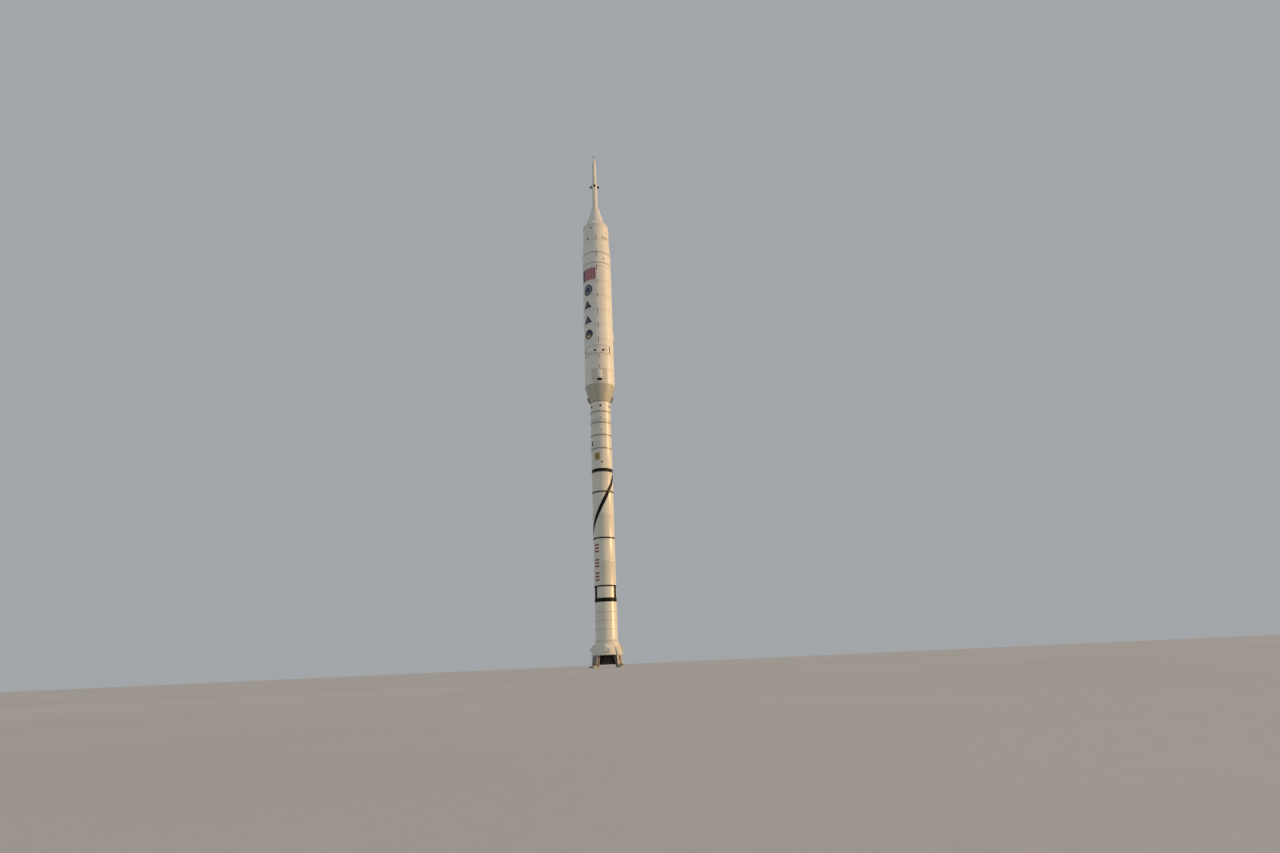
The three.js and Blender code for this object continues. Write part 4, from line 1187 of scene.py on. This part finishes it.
def make_abort_motor():
    """Motor tube with a bolted foot flange, a joint band and a duct, and the manifold with its nozzles."""
    base, top = extent("abort_motor")
    middle = seat(120, TOWER_RADIUS + 0.01, (base + top) / 2)
    extras = [placed(block(0.14, top - base - 0.5, 0.08, 0.015), middle)]
    extras += ring_of(hex_head(0.024, 0.03), 24, TOWER_RADIUS + 0.055, base + 0.118, turn=UPRIGHT)
    rings = [(base, 0.12, 0.1), (base + 2.3, 0.1, 0.03)]
    section("abort_motor", "tube", TOWER_RADIUS, white_plain, extras, rings=rings, count=SLIM)
    base, top = extent("abort_nozzle_manifold")
    wide = TOWER_RADIUS + 0.02
    outline = [(0, base), (TOWER_RADIUS, base), (wide, base + 0.15), (wide, top - 0.3)]
    solids = [lathed([*outline, (UPPER_TOWER_RADIUS, top), (0, top)], SLIM)]
    boss = drum(*BOSS_SPAN, BOSS_RADIUS, count=SMALL)
    for i, azimuth in enumerate(SIDE_AZIMUTHS, 1):
        root = seat(azimuth, ABORT_ROOT[0], base + ABORT_ROOT[1]) @ UPRIGHT @ turned(-ABORT_LEAN, "X")
        solids.append(placed(boss, root))
        piece(f"abort_bell_{i}", [placed(abort_bell(), root)], black_paint, f"abort_nozzle_{i}")
    piece("abort_manifold_body", solids, white_plain, "abort_nozzle_manifold")


BOOM_RADIUS = 0.1


def make_tower_top():
    """Jettison motor with its ports, the ogive nose, and the air data boom with its four vanes."""
    base = extent("jettison_motor")[0]
    rings = [(base + 0.02, 0.08, 0.02), (base + 1.35, 0.09, 0.02)]
    section("jettison_motor", "tube", UPPER_TOWER_RADIUS, white_plain, rings=rings, count=SLIM)
    ports = ring_of(disc(0.075, 0.03, dish=0.02), 4, UPPER_TOWER_RADIUS - 0.01, base + 0.65, start=45)
    piece("jettison_motor_ports", ports, black_paint)
    base, top = extent("nose_cone")
    taper = UPPER_TOWER_RADIUS - BOOM_RADIUS
    ogive = [(BOOM_RADIUS + taper * (1 - share ** 1.6), base + (top - base) * share) for share in steps(16)]
    piece("nose_ogive", [revolved([(0, base), *ogive, (0, top)], SLIM)], white_plain, "nose_cone")
    base, top = extent("air_data_boom")
    outline = [(0, base), (BOOM_RADIUS, base), (0.05, base + 0.2), (0.035, top - 0.1), (0.01, top), (0, top)]
    vanes = ring_of(block(0.012, 0.07, 0.1, 0.003), 4, 0.075, base + 0.45, start=45)
    piece("air_data_probe", [revolved(outline, 24), *vanes], dark_steel, "air_data_boom")


# Black markings, by stations and azimuths. Bands, bars and the stripe are about as wide as each other.
TOP_BAND = (30.97, 31.63)
STRIPE_STATIONS = (JOINTS[1], 31.0)
STRIPE_AZIMUTHS = (-100, 89)
STRIPE_WIDTH = 21.5
LOW_BAND = (8.52, 9.2)
FRAME_BARS = (-60, 62, 180)
FRAME_BAR_WIDTH = 22
BRACKET_MARK = ((-64, -54), (35.95, 36.8))
FRONT_DASHES = (
    (50.45, 51.2), (52.2, 53.2), (55.6, 56.9), (58.55, 59.7), (61.5, 62.7),
    (65.1, 65.9), (68.1, 68.8), (70.9, 72.2), (73.8, 75.5), (77.9, 78.7),
)
DASH_WIDTH = 1.7
# Two blocks, and two short lines as their span, the feet of both, and their height.
SMALL_BLOCK = ((-47, -34), (78.15, 78.42))
PANEL_BLOCK = ((44.4, 48.4), (53.5, 55.0))
SHORT_LINES = ((27, 60), (78.24, 78.58), 0.12)
# Round targets as azimuth, station and width. Each has its like on the back.
TARGETS = (
    (-70, 54.24, 0.3), (-45.5, 53.73, 0.24), (-35, 7.0, 0.26), (0, 32.75, 0.32), (0, 38.7, 0.2),
    (0, 41.1, 0.2), (-60, 43.4, 0.42), (0, 43.4, 0.42), (60, 43.4, 0.42), (-16, 54.05, 0.44),
    (16, 54.05, 0.44),
)


def stripe():
    """Stripe that winds down round the booster's front, from the top band to the centre joint."""
    low, high = STRIPE_STATIONS
    start, end = STRIPE_AZIMUTHS

    def warp(u, station):
        share = (station - low) / (high - low)
        return start + (end - start) * share + (u - 0.5) * STRIPE_WIDTH, station

    return shell(warp, steps(8), height_rows(low, high, 0.1))


def make_black_marks():
    """Bands, the stripe, the framed panel's bars, the dashes up the front, targets and small marks."""
    marks = [band(*TOP_BAND), band(*LOW_BAND), stripe()]
    for azimuth in FRAME_BARS:
        marks.append(patch(about(azimuth, FRAME_BAR_WIDTH / 2), (LOW_BAND[1] - 0.02, JOINTS[0])))
    marks += [patch(about(0, DASH_WIDTH / 2), dash, proud=MARK_OVER_MARK) for dash in FRONT_DASHES]
    for azimuth, station, size in TARGETS:
        marks += [oval(azimuth + turn, station, size, size) for turn in (0, 180)]
    (left, right), (low, high) = BRACKET_MARK
    marks.append(patch((left, right), (low, high)))
    marks += [patch((right, right + 4), (edge, edge + 0.16)) for edge in (low, high - 0.16)]
    marks += [patch(*SMALL_BLOCK), patch(*PANEL_BLOCK, proud=MARK_OVER_MARK)]
    span, feet, height = SHORT_LINES
    marks += [patch(span, (foot, foot + height)) for foot in feet]
    piece("black_markings", marks, black_paint)


# Dark grey lines: two outlined panels, two rings, the feet of two double lines, and two sizes of round
# hatch as azimuth, station, radius and line.
BAND_PANEL = ((-60, 47), (53.45, 55.1))
END_PANEL = ((-64, -58.5), (53.06, 55.0))
UPPER_RINGS = ((72.52, 72.68), (74.82, 74.98))
DOUBLE_LINE = (40.62, 40.78)
ROLL_LINES = (47.75, 48.15)
PANEL_HATCH = (28.5, 54.25, 0.34, 0.08)
ROUND_HATCH = (-24, 36.2, 0.46, 0.07)


def make_grey_marks():
    """Dark sealant on the booster's flanges, fine rings, and the outlines of panels and hatches."""

    def flange_radius(_):
        return BOOSTER_RADIUS + FLANGE[1]

    marks = []
    for node in FLANGED_SECTIONS:
        base = extent(node)[0]
        marks.append(band(base + EDGE, base + FLANGE[0] - EDGE, proud=0.004, radius=flange_radius))
    marks.append(band(EXTENSION_TOP - 0.2, EXTENSION_TOP - 0.02))
    marks += [band(*ring) for ring in UPPER_RINGS]
    marks += [band(station, station + 0.05) for station in DOUBLE_LINE]
    marks += frame_lines(*BAND_PANEL, 0.09)
    marks += frame_lines(*END_PANEL, 0.07, proud=MARK_OVER_MARK)
    marks.append(circle_line(*PANEL_HATCH, proud=MARK_OVER_MARK))
    azimuth, *hatch = ROUND_HATCH
    for turn in (0, 180):
        marks.append(circle_line(turn + azimuth, *hatch))
        marks += [patch(about(turn, ROLL_PANEL_SPAN), (low, low + 0.09)) for low in ROLL_LINES]
    piece("grey_markings", marks, grey_mark)


# Coloured markings: generic panels, discs and triangles, by azimuths, stations and sizes.
LARGE_PANEL = ((-72, -5), (68.95, 71.45))
LARGE_PANEL_END = 14
LARGE_PANEL_LINES = (-44, -31, -18)
RED_BLOCKS = ((16.84, 18.24), (14.34, 15.68), (12.04, 13.45))
RED_SPAN = (-60, -30)
UPPER_DISC = (-41.5, 66.88)
UPPER_DISC_SIZE = (2.1, 2.3)
LOWER_DISC = (-42, 57.53)
LOWER_DISC_SIZE = (1.9, 2.0)
TRIANGLES = ((-45.5, 63.85), (-45.5, 60.7))
TRIANGLE_SIZE = (2.0, 1.65)
GOLD_PANEL = ((-43, -11), (33.2, 34.5))
BROWN_BLOCK = ((-31, -23), (33.5, 34.2))
GOLD_OVAL = (30, 73.54, 0.34, 0.5)


def make_colour_marks():
    """Three red bar groups, a gold panel, two discs, two triangles, and the large rose and blue panel."""
    (left, right), stations = LARGE_PANEL
    middle = left + LARGE_PANEL_END
    red = []
    for bottom, top in RED_BLOCKS:
        bar = (top - bottom) / 5
        red += [patch(RED_SPAN, (bottom + bar * i, bottom + bar * (i + 1))) for i in (0, 2, 4)]
    piece("red_markings", red, red_mark)
    piece("rose_markings", [patch((middle, right), stations)], rose_mark)
    pink = [patch(about(turn, 1.5), stations, proud=MARK_OVER_MARK) for turn in LARGE_PANEL_LINES]
    piece("pink_markings", pink, pink_mark)
    azimuth, station = LOWER_DISC
    blue = [patch((left, middle), stations), oval(*UPPER_DISC, *UPPER_DISC_SIZE)]
    blue.append(oval(azimuth, station, *LOWER_DISC_SIZE))
    blue += [triangle(*place, *TRIANGLE_SIZE) for place in TRIANGLES]
    piece("blue_markings", blue, blue_mark)
    gold = [patch(*GOLD_PANEL), oval(azimuth, station - 0.42, 1.15, 0.8, proud=MARK_OVER_MARK)]
    turn, *size = GOLD_OVAL
    gold += [oval(side + turn, *size) for side in (0, 180)]
    piece("gold_markings", gold, gold_mark)
    brown = [patch(*BROWN_BLOCK, proud=MARK_OVER_MARK)]
    brown += [triangle(turn, low - 0.18, 0.8, 0.65, proud=MARK_OVER_MARK) for turn, low in TRIANGLES]
    piece("brown_markings", brown, brown_mark)
    pale = [circle_line(*UPPER_DISC, 0.72, 0.08, proud=MARK_OVER_MARK)]
    pale.append(oval(azimuth, station - 0.5, 0.3, 0.3, proud=MARK_OVER_MARK * 1.4))
    piece("pale_markings", pale, pale_mark)


# Thruster ports as azimuth and station, the radius and height of a port and of its rim, and the metal
# cover between them. All have their like on the back.
PORTS = ((-41, 82.15), (-65, 81.3), (-22, 80.54))
PORT_FACE = (0.17, 0.036)
PORT_RIM = (0.24, 0.03)
PORT_SIDES = 24
COVER_AZIMUTH = -15
COVER_STATIONS = (81.72, 82.56)


def make_thrusters():
    """Small dark ports near the crew module's edge, in pale rims, and a bright metal cover between them."""
    cone_lean = math.degrees(math.atan2(CREW_TOP_RADIUS - CREW_SHOULDER_RADIUS, CREW_TOP - CREW_SHOULDER))
    spots, covers = [], []
    for turn in (0, 180):
        for azimuth, station in PORTS:
            lean = cone_lean if station > CREW_SHOULDER else 0
            spots.append(seat(azimuth + turn, skin_radius(station), station, lean))
        place = (turn + COVER_AZIMUTH, COVER_STATIONS)
        covers.append(blister(*place, width=0.55, height=0.16, slope=0.2, squareness=3))
    rim, face = disc(*PORT_RIM, PORT_SIDES), disc(*PORT_FACE, PORT_SIDES)
    piece("thruster_rims", [placed(rim, spot) for spot in spots], pale_mark)
    piece("crew_module_covers", covers, polished_steel)
    piece("thruster_ports", [placed(face, spot) for spot in spots], black_paint)


# Access doors on the back and sides, as azimuth, station, width and height.
DOORS = (
    (90, 39.0, 0.7, 0.9), (150, 43.1, 0.9, 1.0), (-100, 36.6, 0.6, 0.6),
    (-120, 52.0, 1.1, 1.5), (135, 57.8, 0.8, 0.8), (120, 76.4, 0.9, 1.1),
)


def make_doors():
    made = [door(*place) for place in DOORS]
    piece("access_doors", [leaf for leaf, _ in made], white_plain)
    piece("access_door_screws", [screw for _, screws in made for screw in screws], steel)


# Camera, fitted to the photograph. It stands at floor level and looks up. Angles are in degrees.
CAMERA_PLACE = (0, -12.552, 0.05)
CAMERA_PITCH = 18.14
CAMERA_YAW = 3.26
CAMERA_ROLL = 2.58
CAMERA_LENS = 20.27


def make_camera():
    pitch, yaw, roll = [math.radians(angle) for angle in (CAMERA_PITCH, CAMERA_YAW, CAMERA_ROLL)]
    right = Vector((math.cos(yaw), -math.sin(yaw), 0))
    forward = Vector((math.sin(yaw) * math.cos(pitch), math.cos(yaw) * math.cos(pitch), math.sin(pitch)))
    up = right.cross(forward)
    across = right * math.cos(roll) - up * math.sin(roll)
    upward = right * math.sin(roll) + up * math.cos(roll)
    lens = bpy.data.cameras.new("photo_camera")
    lens.lens = CAMERA_LENS
    lens.clip_end = 500
    camera = linked("photo_camera", lens)
    turn = Matrix((across, upward, -forward)).transposed().to_4x4()
    camera.matrix_world = Matrix.Translation(CAMERA_PLACE) @ turn
    bpy.context.scene.camera = camera


# The key light's direction, strength, spread and colour, the surround's colour, and half the floor's side.
KEY_AZIMUTH = 80
KEY_ELEVATION = 12
KEY_STRENGTH = 2.85
KEY_SPREAD = 10
KEY_COLOR = (1.0, 0.595, 0.245)
SURROUND = (0.365, 0.383, 0.4, 1.0)
FLOOR_REACH = 60.0


def make_lights():
    """One soft warm light from the right, and an even pale surround."""
    light = bpy.data.lights.new("soft_key", "SUN")
    light.energy = KEY_STRENGTH
    light.angle = math.radians(KEY_SPREAD)
    light.color = KEY_COLOR
    direction = radial(KEY_AZIMUTH) + Vector((0, 0, math.tan(math.radians(KEY_ELEVATION))))
    linked("soft_key", light).rotation_euler = direction.to_track_quat("Z", "Y").to_euler()
    world = bpy.data.worlds.new("even_surround")
    world.use_nodes = True
    world.node_tree.nodes["Background"].inputs["Color"].default_value = SURROUND
    bpy.context.scene.world = world
    bpy.context.scene.view_settings.view_transform = "Standard"


def make_floor():
    mesh = bpy.data.meshes.new("floor")
    corners = [(x * FLOOR_REACH, y * FLOOR_REACH, 0) for x, y in ((-1, -1), (1, -1), (1, 1), (-1, 1))]
    mesh.from_pydata(corners, [], [(0, 1, 2, 3)])
    floor = linked("floor", mesh)
    finish = Finish("pale_floor")
    cloud, grain = finish.noise(0.8, 5.0), finish.noise(60.0, 4.0)
    base = finish.mix(finish.between(cloud, 0.3, 0.7), (0.56, 0.56, 0.56), (0.62, 0.62, 0.61))
    finish.set(base, finish.between(grain, 0.3, 0.7, 0.6, 0.8), finish.bump(grain, 0.001, 0.3))
    mesh.materials.append(finish.material)


for make in (
    make_camera, make_lights, make_floor, make_posts, make_aft_skirt, make_deceleration_pods,
    make_thermal_curtain, make_bearing, make_nozzle, make_shield_ring, make_booster, make_field_joints,
    make_frustum, make_upper_stage, make_roll_control_pods, make_tunnels, make_side_fairing,
    make_spacecraft, make_abort_motor, make_tower_top, make_black_marks, make_grey_marks,
    make_colour_marks, make_thrusters, make_doors,
):
    make()
